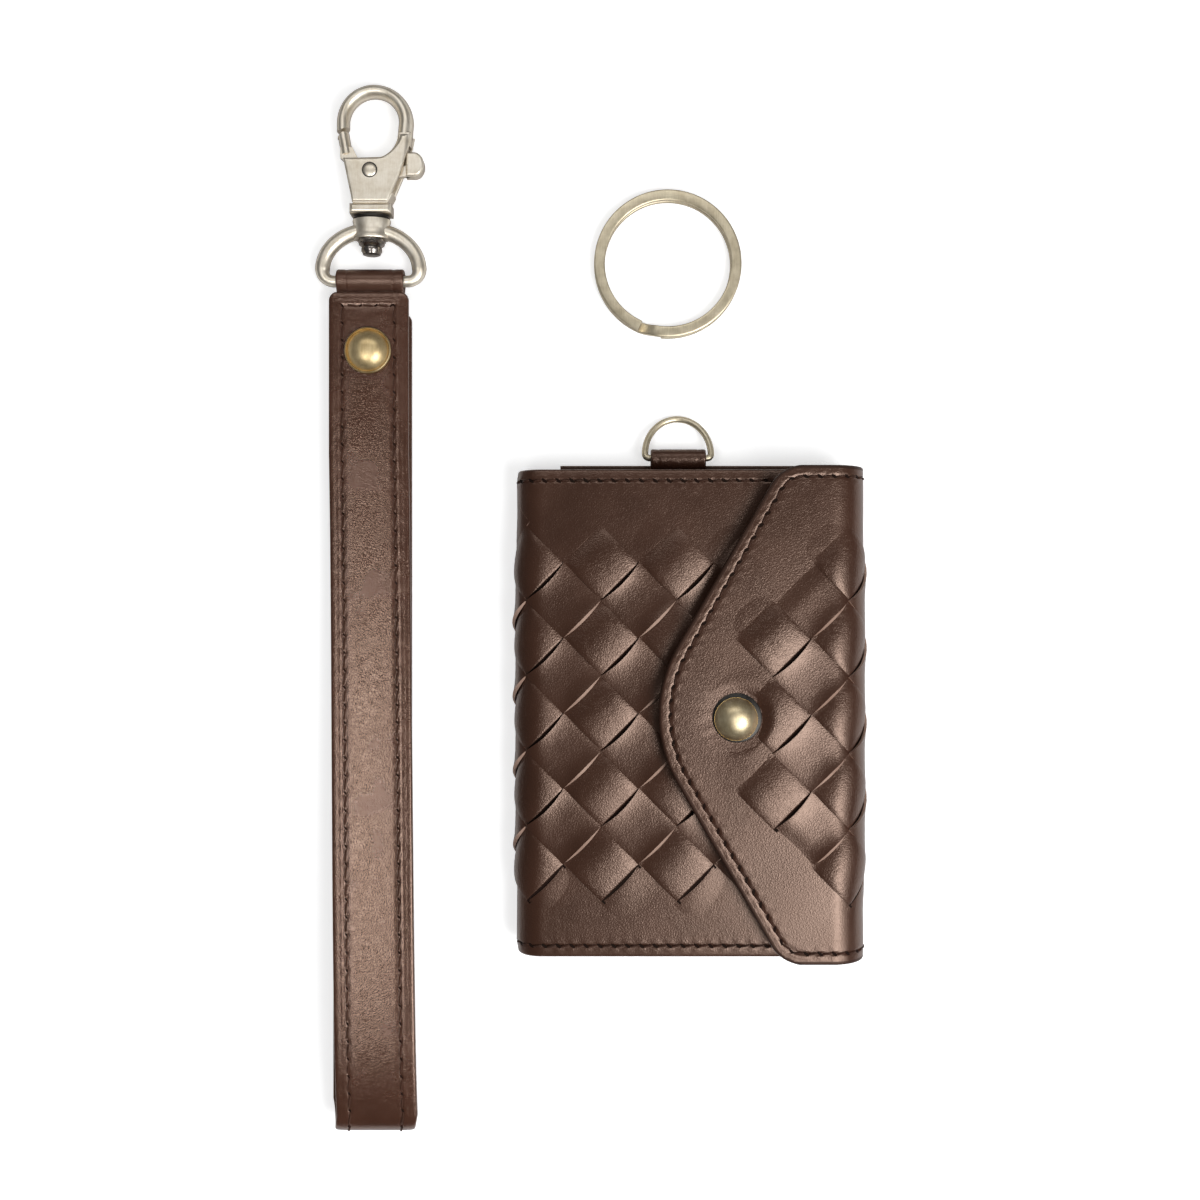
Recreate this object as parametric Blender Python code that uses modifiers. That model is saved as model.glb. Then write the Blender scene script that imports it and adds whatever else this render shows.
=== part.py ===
"""Woven leather trifold wallet with its split key ring and its wrist strap.

The wallet lies on its back with the envelope flap snapped shut. The wrist strap lies
to its left, with the swivel clasp at the top end, and the split ring lies above it.
Metres, +Z up, +Y towards the top of the wallet. The origin is the middle of the
wallet's back face, so everything rests on the plane z = 0.
"""
import math

import bmesh
import bpy
from mathutils import Matrix, Vector

# Clearances and small shared sizes
GAP = 0.0003                    # air between two pieces that touch on the real object
OVERRUN = 0.002                 # how far a cutter reaches past what it cuts
MERGE = 0.00001                 # weld distance for a curve's caps
ARC_STEPS = 10                  # facets in each fold of leather
CORNER_STEPS = 3                # facets in the bent corners of a D ring
BLEND_STEPS = 4                 # facets where a tab's two plies come together
DOME_STEPS = 6                  # facets from a cap's top to its rim
ROUND_SIDES = 32                # sides of the round metal pieces
HOLE_SIDES = 20                 # sides of the small punched holes
SHARP_EDGE = math.radians(35)

# Wallet outer leather
WALLET_WIDTH = 0.0734
WALLET_HEIGHT = 0.1022
SHELL_THICK = 0.0014
COVER_TOP = 0.0119              # height of the closed cover's outer face
FLAP_TOP = 0.0162               # height of the closed flap's outer face
COVER_EDGE_INSET = 0.0107       # the cover's free edge, in from the right side
FLAP_LINING_THICK = 0.0005
FLAP_THICK = 0.0012

# Envelope flap outline
FLAP_PROUD = 0.0005             # the flap stands out past the shell's top and bottom edges
FLAP_REACH = 0.0436             # from the wallet's right side to the tip
FLAP_TIP_RADIUS = 0.028
FLAP_CORNER_RADIUS = 0.008
FLAP_SIDE_LEAN = math.radians(30)
FLAP_LINING_INSET = 0.0008
FOLD_JOIN_ANGLE = math.radians(45)      # where the flap and back leather meet the fold
FOLD_JOIN_HALF_GAP = math.radians(1.2)
# A quarter turn unrolls flat when it turns about this point, in shares of its radius
UNROLL_SHARE_X = math.pi / 4
UNROLL_SHARE_Z = 1 - math.pi / 4

# Inside of the wallet
LINING_THICK = 0.0006
INSERT_LEFT_INSET = 0.0091      # from the wallet's left side to the insert
INSERT_RIGHT_INSET = 0.0072
INSERT_RISE = 0.0017            # how far the insert peeks out above the shell
POCKET_SIDE_INSET = 0.0015
POCKET_BOTTOM_INSET = 0.0015
POCKET_MOUTHS = (0.0300, 0.0140)        # height of each card pocket's mouth
COVER_LINING_INSET = 0.0012

# Woven squares on the cover and the flap
WEAVE_PITCH = 0.01576           # diagonal of one woven square
WEAVE_TOP_Y = 0.0394
WEAVE_FIRST_X = -0.0188
FLAP_WEAVE_FROM_SNAP = 0.0076   # from the snap to the middle of the flap's first squares
FLAP_WEAVE_START = -0.0012      # no corner of the flap's squares lies left of this, from the snap
WEAVE_RELIEF = 0.0008
WEAVE_ROOT = 0.0006             # how far a square reaches down into its leather
WEAVE_BEVEL = 0.0004
WEAVE_EDGE_INSET = 0.0032       # squares stay this far in from a cut edge
WEAVE_SEAM = 0.0004             # gap between two neighbouring squares

# Snap fastener
SNAP_FROM_TIP = 0.0159
SNAP_Y = -0.0008
SNAP_CAP_RADIUS = 0.00475
SNAP_CAP_HEIGHT = 0.0023
SNAP_SHANK_RADIUS = 0.0011
SNAP_SOCKET_RADIUS = 0.0046
SNAP_SOCKET_HEIGHT = 0.0014
SNAP_STUD_RADIUS = 0.0020
SNAP_STUD_PLAY = 0.0008         # room for the stud, because the flap lifts in an arc
SNAP_FLANGE_RADIUS = 0.0042
SNAP_FLANGE_THICK = 0.0005

# Wallet ring tab and its D ring
TAB_X = -0.0022
TAB_WIDTH = 0.0118
TAB_THICK = 0.0009
TAB_ROOT_INSET = 0.0081         # how far the tab runs down inside the wallet
RING_WIRE_RADIUS = 0.0007
RING_HALF_WIDTH = 0.0071        # to the wire's centre
RING_RISE = 0.0095              # bar to the top of the arch, along the wire's centre
RING_CORNER = 0.0010
RING_BAR_OUT = 0.0031           # the bar's centre, above the shell's top edge

# Split key ring
KEY_RING_X = -0.0043
KEY_RING_Y = 0.0967
KEY_RING_OUTER_RADIUS = 0.0160
KEY_RING_BAND = 0.00235
KEY_RING_WIRE_HEIGHT = 0.0011
KEY_RING_TURN_GAP = 0.00045
KEY_RING_END_ANGLE = math.radians(246)
KEY_RING_RAMP = math.radians(16)
KEY_RING_START_PLAY = math.radians(3)
KEY_RING_STEP = math.radians(9)

# Wrist strap
STRAP_X = -0.0685
STRAP_WIDTH = 0.0171
STRAP_THICK = 0.0018
STRAP_BOTTOM_Y = -0.0897
STRAP_TOP_INSET = 0.0029        # from the D loop's bar down to the upper run's end
STRAP_LOWER_END_DROP = 0.0036   # the lower run ends this much further down
STRAP_LOOP_TOP = 0.0112         # height of the free end of the loop
STRAP_SKEW = 0.0024             # the upper run drifts sideways by this at the loop
STRAP_SETTLE_Y = 0.0550         # the upper run lies flat above here
STRAP_RUN_STEPS = 14
KEEPER_WIDTH = 0.0145
KEEPER_THICK = 0.0010
KEEPER_TAIL_DROP = 0.0109       # the keeper's tails run down past the rivet by this
KEEPER_CLOSE = 0.0028           # length over which the keeper's tails come together
RIVET_INSET = 0.0127            # the rivet, down from the upper run's end
RIVET_CAP_RADIUS = 0.0050
RIVET_CAP_HEIGHT = 0.0024
RIVET_SHANK_RADIUS = 0.0012
RIVET_BACK_RADIUS = 0.0036
RIVET_BACK_THICK = 0.0006
RIVET_BACK_RECESS = 0.0002

# Swivel clasp: its D loop and collar
LOOP_BAR_Y = 0.0925
LOOP_BAR_RADIUS = 0.00125
LOOP_WIRE_RADIUS = 0.0016
LOOP_HALF_WIDTH = 0.01045
LOOP_RISE = 0.0110              # bar to the top of the loop, along the wire's centre
LOOP_CORNER = 0.0024
COLLAR_DROP = 0.0018            # the collar's foot, below the top of the loop
COLLAR_LENGTH = 0.0045
COLLAR_HALF_WIDTH = 0.0041
COLLAR_HALF_DEPTH = 0.0030
POST_RADIUS = 0.00145
POST_HEAD_RADIUS = 0.0027
POST_HEAD_LENGTH = 0.0014
POST_END_RADIUS = 0.0021
POST_END_LENGTH = 0.0018
POST_SINK = 0.0030              # how deep the post sits in the hook

# Swivel clasp: hook, lever, pin and spring
PIN_SIDE = 0.0002               # the clasp hangs this far right of the strap's middle
PIN_RISE = 0.0096               # the pin, above the collar
PIN_RADIUS = 0.0016
HOOK_DEPTH = 0.0054
HOOK_FLANGE_HALF_WIDTH = 0.00445
HOOK_NECK_STEP = 0.0006         # the flange stands out past the body by this
HOOK_BEVEL = 0.0004
HOOK_WIRE_RADIUS = 0.00138
HOOK_SIDE_X = 0.0068            # arch's half width, to the wire's centre
HOOK_ARCH_X = 0.0007            # arch's middle, right of the pin
HOOK_ARCH_Y = 0.0107            # where the arch starts, above the pin
HOOK_ARCH_RISE = 0.0069
HOOK_TIP_DROP = 0.0034          # the tip's end before it is cut to its arc
HOOK_ARCH_STEPS = 14
HOOK_PLATE_TOP = 0.0011         # metal above the lever's slot
HOOK_PLATE_BOTTOM = 0.0009
HOOK_BODY_FOOT = 0.0067         # the body's foot, below the pin
HOOK_BODY_HEAD = 0.0027         # the body's top edge, above the pin
HOOK_BODY_TOP_LEFT = 0.0057
HOOK_BODY_INNER_X = 0.0012      # where the opening's floor starts to rise
HOOK_SHOULDER_X = 0.0059
HOOK_SHOULDER_Y = 0.0092
HOOK_SHOULDER_WIDTH = 0.0032
HOOK_WAIST_X = 0.0066
SLOT_FLOOR = 0.0048             # slot's lower end, below the pin
SLOT_ROOF = 0.0020              # slot's upper end beside the thumb, above the pin
LEVER_THICK = 0.0013
LEVER_HUB_RADIUS = 0.0028
LEVER_ARM_HALF = 0.0013
GATE_RADIUS = 0.00125
GATE_LEAN = math.radians(10)
SPLIT_RADIUS = 0.0104           # the gate ends on an arc this far from the pin, so that it clears the tip
SPLIT_PLAY = 0.0004
SPLIT_DEPTH = 0.0030            # how far the cuts on both sides of the split reach
SPLIT_FROM = math.radians(108)
SPLIT_TO = math.radians(146)
THUMB_IN = 0.0075               # thumb pad's near and far ends, right of the pin
THUMB_OUT = 0.0114
THUMB_LOW = -0.0010
THUMB_HIGH = 0.0042
THUMB_DEPTH = 0.0034
THUMB_BEVEL = 0.0008
SPRING_WIRE_RADIUS = 0.00015
SPRING_COIL_RADIUS = 0.0024
SPRING_RISE = 0.00075
SPRING_LEG = 0.0016
SPRING_STEPS = 24

# Places worked out from the sizes above
LEFT = -WALLET_WIDTH / 2
RIGHT = WALLET_WIDTH / 2
TOP = WALLET_HEIGHT / 2
FLAP_HALF_HEIGHT = TOP + FLAP_PROUD
FLAP_TIP_X = RIGHT - FLAP_REACH
SNAP_X = FLAP_TIP_X + SNAP_FROM_TIP
FLAP_WEAVE_FIRST_X = SNAP_X + FLAP_WEAVE_FROM_SNAP
FLAP_WEAVE_LEFT = SNAP_X + FLAP_WEAVE_START
LEFT_FOLD = COVER_TOP / 2
RIGHT_FOLD = FLAP_TOP / 2
FOLD_X = RIGHT - RIGHT_FOLD
COVER_EDGE = RIGHT - COVER_EDGE_INSET
COVER_LINING_TOP = COVER_TOP - SHELL_THICK - GAP
FLAP_LINING_TOP = FLAP_TOP - FLAP_THICK - GAP
FLAP_LINING_LOW = FLAP_LINING_TOP - FLAP_LINING_THICK
INSERT_LEFT = LEFT + INSERT_LEFT_INSET
INSERT_RIGHT = RIGHT - INSERT_RIGHT_INSET
INSERT_TOP_Z = SHELL_THICK + GAP + LINING_THICK
TAB_LOOP = RING_WIRE_RADIUS + GAP + TAB_THICK / 2
RING_BAR_Y = TOP + RING_BAR_OUT
RING_BAR_Z = INSERT_TOP_Z + GAP + TAB_THICK / 2 + TAB_LOOP
RING_DROOP = math.asin((RING_BAR_Z - RING_WIRE_RADIUS - GAP) / RING_RISE)
STRAP_UPPER_END_Y = LOOP_BAR_Y - STRAP_TOP_INSET
STRAP_LOWER_END_Y = STRAP_UPPER_END_Y - STRAP_LOWER_END_DROP
RIVET_Y = STRAP_UPPER_END_Y - RIVET_INSET
KEEPER_TAIL_Y = RIVET_Y - KEEPER_TAIL_DROP
LOOP_TOP_Y = LOOP_BAR_Y + LOOP_RISE
COLLAR_LOW_Y = LOOP_TOP_Y - COLLAR_DROP
COLLAR_HIGH_Y = COLLAR_LOW_Y + COLLAR_LENGTH
PIN_X = STRAP_X + PIN_SIDE
PIN_Y = COLLAR_HIGH_Y + PIN_RISE
KEEPER_LOOP = LOOP_BAR_RADIUS + GAP + KEEPER_THICK / 2
KEEPER_LOW_Z = STRAP_THICK + GAP + KEEPER_THICK / 2
KEEPER_HIGH_Z = KEEPER_LOW_Z + KEEPER_THICK + GAP
CLASP_Z = (KEEPER_LOW_Z + KEEPER_HIGH_Z) / 2
STRAP_UPPER_Z = KEEPER_HIGH_Z + KEEPER_THICK / 2 + GAP + STRAP_THICK / 2
STRAP_LOOP_Z = STRAP_LOOP_TOP - STRAP_THICK / 2
HOOK_LOW_Z = CLASP_Z - HOOK_DEPTH / 2
HOOK_HIGH_Z = CLASP_Z + HOOK_DEPTH / 2
SLOT_LOW_Z = HOOK_LOW_Z + HOOK_PLATE_BOTTOM
SLOT_HIGH_Z = HOOK_HIGH_Z - HOOK_PLATE_TOP
LEVER_HIGH_Z = SLOT_HIGH_Z - GAP
LEVER_LOW_Z = LEVER_HIGH_Z - LEVER_THICK

for old in list(bpy.data.objects):
    bpy.data.objects.remove(old, do_unlink=True)

parts = bpy.data.collections.new("woven_wallet_set")
helpers = bpy.data.collections.new("cutters")
bpy.context.scene.collection.children.link(parts)
bpy.context.scene.collection.children.link(helpers)


def material(name, colour, roughness, metallic):
    """A Principled material with the piece's plain colour."""
    made = bpy.data.materials.new(name)
    made.use_nodes = True
    shader = made.node_tree.nodes["Principled BSDF"]
    shader.inputs["Base Color"].default_value = (*colour, 1)
    shader.inputs["Roughness"].default_value = roughness
    shader.inputs["Metallic"].default_value = metallic
    return made


BROWN = material("brown_leather", (0.085, 0.042, 0.030), 0.45, 0)
SUEDE = material("inner_suede", (0.110, 0.060, 0.042), 0.90, 0)
BRASS = material("antique_brass", (0.58, 0.43, 0.20), 0.30, 1)
PALE_BRASS = material("brushed_pale_brass", (0.62, 0.52, 0.38), 0.34, 1)
STEEL = material("dark_steel", (0.24, 0.23, 0.22), 0.30, 1)


def finish(name, mesh, look, home=parts):
    """Link a mesh as a named object with its material."""
    piece = bpy.data.objects.new(name, mesh)
    home.objects.link(piece)
    if look:
        mesh.materials.append(look)
    else:
        piece.hide_render = True
        piece.display_type = "WIRE"
    return piece


def mesh_from(builder, name):
    """Write a bmesh into a new mesh with its faces pointing outwards."""
    bmesh.ops.recalc_face_normals(builder, faces=builder.faces)
    mesh = bpy.data.meshes.new(name)
    builder.to_mesh(mesh)
    builder.free()
    return mesh


def place(builder, matrix):
    bmesh.ops.transform(builder, matrix=matrix, verts=builder.verts)


def box(name, low, high, look, home=parts, bevel=0):
    """A box between two corners."""
    builder = bmesh.new()
    bmesh.ops.create_cube(builder, size=1)
    size = Vector(high) - Vector(low)
    centre = (Vector(high) + Vector(low)) / 2
    place(builder, Matrix.Translation(centre) @ Matrix.Diagonal((*size, 1)))
    piece = finish(name, mesh_from(builder, name), look, home)
    if bevel:
        soften(piece, bevel)
    return piece


def soften(piece, width):
    edge = piece.modifiers.new("soft_edges", "BEVEL")
    edge.width = width
    edge.segments = 1
    edge.limit_method = "ANGLE"


def prism(name, outline, low, high, look, home=parts, bevel=0):
    """A flat outline in plan, raised from one height to another."""
    builder = bmesh.new()
    floor = [builder.verts.new((x, y, low)) for x, y in outline]
    face = builder.faces.new(floor)
    raised = bmesh.ops.extrude_face_region(builder, geom=[face])["geom"]
    top = [item for item in raised if isinstance(item, bmesh.types.BMVert)]
    bmesh.ops.translate(builder, vec=(0, 0, high - low), verts=top)
    piece = finish(name, mesh_from(builder, name), look, home)
    if bevel:
        soften(piece, bevel)
    return piece


def rod(name, x, y, low, high, radius, look, home=parts, sides=ROUND_SIDES):
    """An upright cylinder."""
    builder = bmesh.new()
    bmesh.ops.create_cone(builder, cap_ends=True, segments=sides, radius1=radius, radius2=radius,
                          depth=high - low)
    place(builder, Matrix.Translation((x, y, (low + high) / 2)))
    return finish(name, mesh_from(builder, name), look, home)


def lying_rod(name, centre, low_y, high_y, radius_x, radius_z, home=helpers, sides=ROUND_SIDES):
    """A cylinder along Y, which may be oval."""
    builder = bmesh.new()
    bmesh.ops.create_cone(builder, cap_ends=True, segments=sides, radius1=1, radius2=1, depth=1)
    size = Matrix.Diagonal((radius_x, radius_z, high_y - low_y, 1))
    turn = Matrix.Rotation(math.radians(90), 4, "X")
    middle = Matrix.Translation((centre[0], (low_y + high_y) / 2, centre[1]))
    place(builder, middle @ turn @ size)
    return finish(name, mesh_from(builder, name), None, home)


def turned(name, profile, look, sides=ROUND_SIDES):
    """A profile of (radius, height) points, from its top middle to its bottom middle."""
    builder = bmesh.new()
    ends = [builder.verts.new((radius, 0, height)) for radius, height in profile]
    for first, second in zip(ends, ends[1:]):
        builder.edges.new((first, second))
    mesh = bpy.data.meshes.new(name)
    builder.to_mesh(mesh)
    builder.free()
    piece = finish(name, mesh, look)
    spin = piece.modifiers.new("turning", "SCREW")
    spin.steps = sides
    spin.render_steps = sides
    spin.use_merge_vertices = True
    spin.merge_threshold = MERGE
    return piece


def ribbon(name, rows, thick, look, home=parts):
    """A strip of leather: each row is its left and its right edge point."""
    builder = bmesh.new()
    pairs = [[builder.verts.new(point) for point in row] for row in rows]
    for first, second in zip(pairs, pairs[1:]):
        builder.faces.new((first[0], first[1], second[1], second[0]))
    piece = finish(name, mesh_from(builder, name), look, home)
    wall = piece.modifiers.new("leather", "SOLIDIFY")
    wall.thickness = thick
    wall.offset = 0
    wall.use_even_offset = True
    return piece


def cut(piece, cutter, operation="DIFFERENCE"):
    change = piece.modifiers.new(cutter.name, "BOOLEAN")
    change.operation = operation
    change.solver = "EXACT"
    change.object = cutter


def tube(name, points, radii, look, closed=False, home=parts, sides=2):
    """A round wire along points; radii are its radius at each point."""
    curve = bpy.data.curves.new(name, "CURVE")
    curve.dimensions = "3D"
    curve.bevel_depth = 1
    curve.bevel_resolution = sides
    curve.use_fill_caps = not closed
    curve.render_resolution_u = 0
    spline = curve.splines.new("POLY")
    spline.points.add(len(points) - 1)
    for knot, point, radius in zip(spline.points, points, radii):
        knot.co = (*point, 1)
        knot.radius = radius
    spline.use_cyclic_u = closed
    guide = bpy.data.objects.new(name + "_guide", curve)
    helpers.objects.link(guide)
    bpy.context.view_layer.update()
    shape = guide.evaluated_get(bpy.context.evaluated_depsgraph_get())
    mesh = bpy.data.meshes.new_from_object(shape)
    bpy.data.objects.remove(guide, do_unlink=True)
    builder = bmesh.new()
    builder.from_mesh(mesh)
    bmesh.ops.remove_doubles(builder, verts=builder.verts, dist=MERGE)
    return finish(name, mesh_from(builder, name), look, home)


def arc(centre, radius, start, end, steps=ARC_STEPS):
    """Points along an arc, both ends included."""
    turns = [start + (end - start) * step / steps for step in range(steps + 1)]
    return [(centre[0] + radius * math.cos(turn), centre[1] + radius * math.sin(turn)) for turn in turns]


def rounded(corners, radii, steps=ARC_STEPS):
    """An outline whose corners are arcs; a radius of zero leaves the corner sharp."""
    outline = []
    for place_in, (corner, radius) in enumerate(zip(corners, radii)):
        here = Vector(corner)
        if radius == 0:
            outline.append(tuple(here))
            continue
        back = (Vector(corners[place_in - 1]) - here).normalized()
        ahead = (Vector(corners[(place_in + 1) % len(corners)]) - here).normalized()
        half = back.angle(ahead) / 2
        middle = here + (back + ahead).normalized() * radius / math.sin(half)
        first = here + back * radius / math.tan(half) - middle
        sweep = first.angle_signed(here + ahead * radius / math.tan(half) - middle)
        start = math.atan2(first.y, first.x)
        outline += arc(middle, radius, start, start - sweep, steps)
    return outline


def ease(share):
    return share * share * (3 - 2 * share)


def blend_points(start, end, steps):
    """Points of an S curve between two heights, level at both ends, both ends included."""
    return [(start[0] + (end[0] - start[0]) * step / steps,
             start[1] + (end[1] - start[1]) * ease(step / steps)) for step in range(steps + 1)]


def punch(piece, name, x, y, radius):
    """A hole right through the leather."""
    high = STRAP_LOOP_TOP + FLAP_TOP
    cut(piece, rod(name, x, y, -OVERRUN, high, radius, None, helpers, HOLE_SIDES))


# Outer leather: back, left fold and cover in one strip

def along_y(path, low, high):
    return [((x, low, z), (x, high, z)) for x, z in path]


def flap_outline(inset=0.0):
    """Plan of the flap: two leaning sides meet at the round tip."""
    lean = math.tan(FLAP_SIDE_LEAN)
    tip = FLAP_TIP_X - FLAP_TIP_RADIUS * (1 / math.cos(FLAP_SIDE_LEAN) - 1)
    tip += inset / math.cos(FLAP_SIDE_LEAN)
    high = FLAP_HALF_HEIGHT - inset
    shoulder = tip + high * lean
    far = RIGHT + OVERRUN
    corners = [(far, high), (shoulder, high), (tip, 0), (shoulder, -high), (far, -high)]
    corner = FLAP_CORNER_RADIUS - inset
    return rounded(corners, [0, corner, FLAP_TIP_RADIUS - inset, corner, 0])


def make_shell():
    middle = SHELL_THICK / 2
    right_radius = RIGHT_FOLD - middle
    end_turn = -FOLD_JOIN_ANGLE - FOLD_JOIN_HALF_GAP
    right_curl = arc((FOLD_X, RIGHT_FOLD), right_radius, end_turn, math.radians(-90))
    left_curl = arc((LEFT + LEFT_FOLD, LEFT_FOLD), LEFT_FOLD - middle, math.radians(-90),
                    math.radians(-270))
    path = right_curl + left_curl + [(COVER_EDGE, COVER_TOP - middle)]
    shell = ribbon("outer_shell", along_y(path, -TOP, TOP), SHELL_THICK, BROWN)
    punch_hole = rod("stud_hole", SNAP_X, SNAP_Y, COVER_LINING_TOP - OVERRUN, COVER_TOP + OVERRUN,
                     SNAP_SHANK_RADIUS + GAP, None, helpers, HOLE_SIDES)
    cut(shell, punch_hole)
    return shell


def make_fold():
    """The strip of leather at the right side, between the back and the flap."""
    end = FOLD_JOIN_ANGLE - FOLD_JOIN_HALF_GAP
    path = arc((FOLD_X, RIGHT_FOLD), RIGHT_FOLD - SHELL_THICK / 2, -end, end)
    ribbon("flap_fold", along_y(path, -TOP, TOP), SHELL_THICK, BROWN)


def make_flap():
    middle = FLAP_THICK / 2
    start = FOLD_JOIN_ANGLE + FOLD_JOIN_HALF_GAP
    path = arc((FOLD_X, RIGHT_FOLD), RIGHT_FOLD - middle, start, math.radians(90))
    path.append((FLAP_TIP_X - OVERRUN, FLAP_TOP - middle))
    flap = ribbon("flap", along_y(path, -TOP - OVERRUN, TOP + OVERRUN), FLAP_THICK, BROWN)
    plan = prism("flap_plan", flap_outline(), 0, FLAP_TOP + OVERRUN, None, helpers)
    cut(flap, plan, "INTERSECT")
    hole = rod("cap_hole", SNAP_X, SNAP_Y, FLAP_LINING_TOP, FLAP_TOP + OVERRUN,
               SNAP_SHANK_RADIUS + GAP, None, helpers, HOLE_SIDES)
    cut(flap, hole)
    plan_inner = [(min(x, FOLD_X), y) for x, y in flap_outline(FLAP_LINING_INSET)]
    lining = prism("flap_lining", plan_inner, FLAP_LINING_LOW, FLAP_LINING_TOP, SUEDE)
    punch(lining, "cap_hole_lining", SNAP_X, SNAP_Y, SNAP_SHANK_RADIUS + GAP)
    return flap


# Inside pieces

def make_inside():
    low = SHELL_THICK + GAP
    insert_top = TOP + INSERT_RISE
    box("inner_insert", (INSERT_LEFT, -TOP + GAP, low), (INSERT_RIGHT, insert_top, INSERT_TOP_Z), SUEDE)
    level = INSERT_TOP_Z + GAP
    for number, mouth in enumerate(POCKET_MOUTHS, 1):
        corner = (INSERT_LEFT + POCKET_SIDE_INSET, -TOP + POCKET_BOTTOM_INSET, level)
        far = (INSERT_RIGHT - POCKET_SIDE_INSET, mouth, level + LINING_THICK)
        box("card_pocket_%d" % number, corner, far, BROWN)
        level += LINING_THICK + GAP
    lining_low = COVER_LINING_TOP - LINING_THICK
    corner = (LEFT + LEFT_FOLD, -TOP + COVER_LINING_INSET, lining_low)
    far = (COVER_EDGE - COVER_LINING_INSET, TOP - COVER_LINING_INSET, COVER_LINING_TOP)
    lining = box("cover_lining", corner, far, SUEDE)
    punch(lining, "stud_hole_lining", SNAP_X, SNAP_Y, SNAP_SHANK_RADIUS + GAP)


# Woven squares

def woven_squares(leather, name, surface, first_x, window, clear_radius, leftmost=LEFT):
    """Raised squares set on their corners, in rows, clipped to the window's two X limits.

    No square comes within clear_radius of the snap. No corner lies left of leftmost, and
    further from the middle row the squares start further right, like stairs.
    """
    builder = bmesh.new()
    half = WEAVE_PITCH / 2
    side = WEAVE_PITCH / math.sqrt(2) - WEAVE_SEAM
    rows = round(WEAVE_TOP_Y / half) * 2
    columns = round(WALLET_WIDTH / WEAVE_PITCH)
    turn = Matrix.Rotation(math.radians(45), 4, "Z")
    size = Matrix.Diagonal((side, side, WEAVE_RELIEF + WEAVE_ROOT, 1))
    level = surface + (WEAVE_RELIEF - WEAVE_ROOT) / 2
    for row in range(1, rows):
        shift = 0 if row % 2 else half
        y = WEAVE_TOP_Y - row * half
        stair = 0 if leftmost == LEFT else max(0, abs(y) - WEAVE_PITCH)
        for column in range(-columns, columns):
            x = first_x + column * WEAVE_PITCH + shift
            inside = window[0] - half < x < window[1] + half - WEAVE_SEAM
            if inside and x - half > leftmost + stair:
                middle = Matrix.Translation((x, y, level))
                bmesh.ops.create_cube(builder, size=1, matrix=middle @ turn @ size)
    squares = finish(name, mesh_from(builder, name), None, helpers)
    soften(squares, WEAVE_BEVEL)
    low, high = surface - OVERRUN, surface + OVERRUN
    frame = box(name + "_window", (window[0], -TOP, low), (window[1], TOP, high), None, helpers)
    cut(squares, frame, "INTERSECT")
    cut(squares, rod(name + "_clear", SNAP_X, SNAP_Y, low, high, clear_radius, None, helpers))
    cut(leather, squares, "UNION")


def make_weave(shell, flap):
    cover_window = (LEFT + LEFT_FOLD, COVER_EDGE - WEAVE_EDGE_INSET)
    woven_squares(shell, "cover_squares", COVER_TOP, WEAVE_FIRST_X, cover_window, SNAP_SOCKET_RADIUS + GAP)
    woven_squares(flap, "flap_squares", FLAP_TOP, FLAP_WEAVE_FIRST_X, (FLAP_TIP_X, FOLD_X),
                  SNAP_CAP_RADIUS + GAP, FLAP_WEAVE_LEFT)


# Snap fastener

def dome(radius, height, base, shank_radius, shank_low, steps=DOME_STEPS):
    """Profile of a domed cap with a shank under it, from the top middle down."""
    crown = [(radius * math.sin(math.radians(90) * step / steps),
              base + height * math.cos(math.radians(90) * step / steps)) for step in range(steps)]
    skirt = [(radius, base + height / steps), (radius, base), (shank_radius, base)]
    return crown + skirt + [(shank_radius, shank_low), (0, shank_low)]


def moved(piece, x, y):
    piece.location = (x, y, 0)
    return piece


def make_snap():
    cap_low = FLAP_LINING_LOW + GAP
    cap = turned("snap_cap", dome(SNAP_CAP_RADIUS, SNAP_CAP_HEIGHT, FLAP_TOP + GAP, SNAP_SHANK_RADIUS,
                                  cap_low), BRASS)
    moved(cap, SNAP_X, SNAP_Y)
    high = FLAP_LINING_LOW - GAP
    low = high - SNAP_SOCKET_HEIGHT
    roof = low + SNAP_SOCKET_HEIGHT / 2
    bore = SNAP_STUD_RADIUS + SNAP_STUD_PLAY
    cup = [(0, high), (SNAP_SOCKET_RADIUS, high), (SNAP_SOCKET_RADIUS, low), (bore, low), (bore, roof),
           (0, roof)]
    moved(turned("snap_socket", cup, STEEL), SNAP_X, SNAP_Y)
    foot = COVER_TOP + GAP
    stud_top = roof - GAP
    shank_low = COVER_LINING_TOP - LINING_THICK - GAP - SNAP_FLANGE_THICK
    flange_high = shank_low + SNAP_FLANGE_THICK
    stud = [(0, stud_top), (SNAP_STUD_RADIUS, stud_top), (SNAP_STUD_RADIUS, foot),
            (SNAP_SHANK_RADIUS, foot), (SNAP_SHANK_RADIUS, flange_high + GAP), (0, flange_high + GAP)]
    moved(turned("snap_stud", stud, STEEL), SNAP_X, SNAP_Y)
    back = [(0, flange_high), (SNAP_FLANGE_RADIUS, flange_high), (SNAP_FLANGE_RADIUS, shank_low),
            (0, shank_low)]
    moved(turned("snap_back", back, STEEL), SNAP_X, SNAP_Y)


# Ring tab and D ring of the wallet

def d_path(half_width, corner, rise, steps=16):
    """A D in plan: its bar runs along X through the origin and its arch rises towards +Y."""
    left = arc((-half_width + corner, corner), corner, math.radians(270), math.radians(180),
               CORNER_STEPS)
    right = arc((half_width - corner, corner), corner, math.radians(360), math.radians(270),
                CORNER_STEPS)
    turns = [math.radians(180) * (1 - step / steps) for step in range(1, steps)]
    arch = [(half_width * math.cos(turn), corner + (rise - corner) * math.sin(turn)) for turn in turns]
    return left + arch + right


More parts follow.
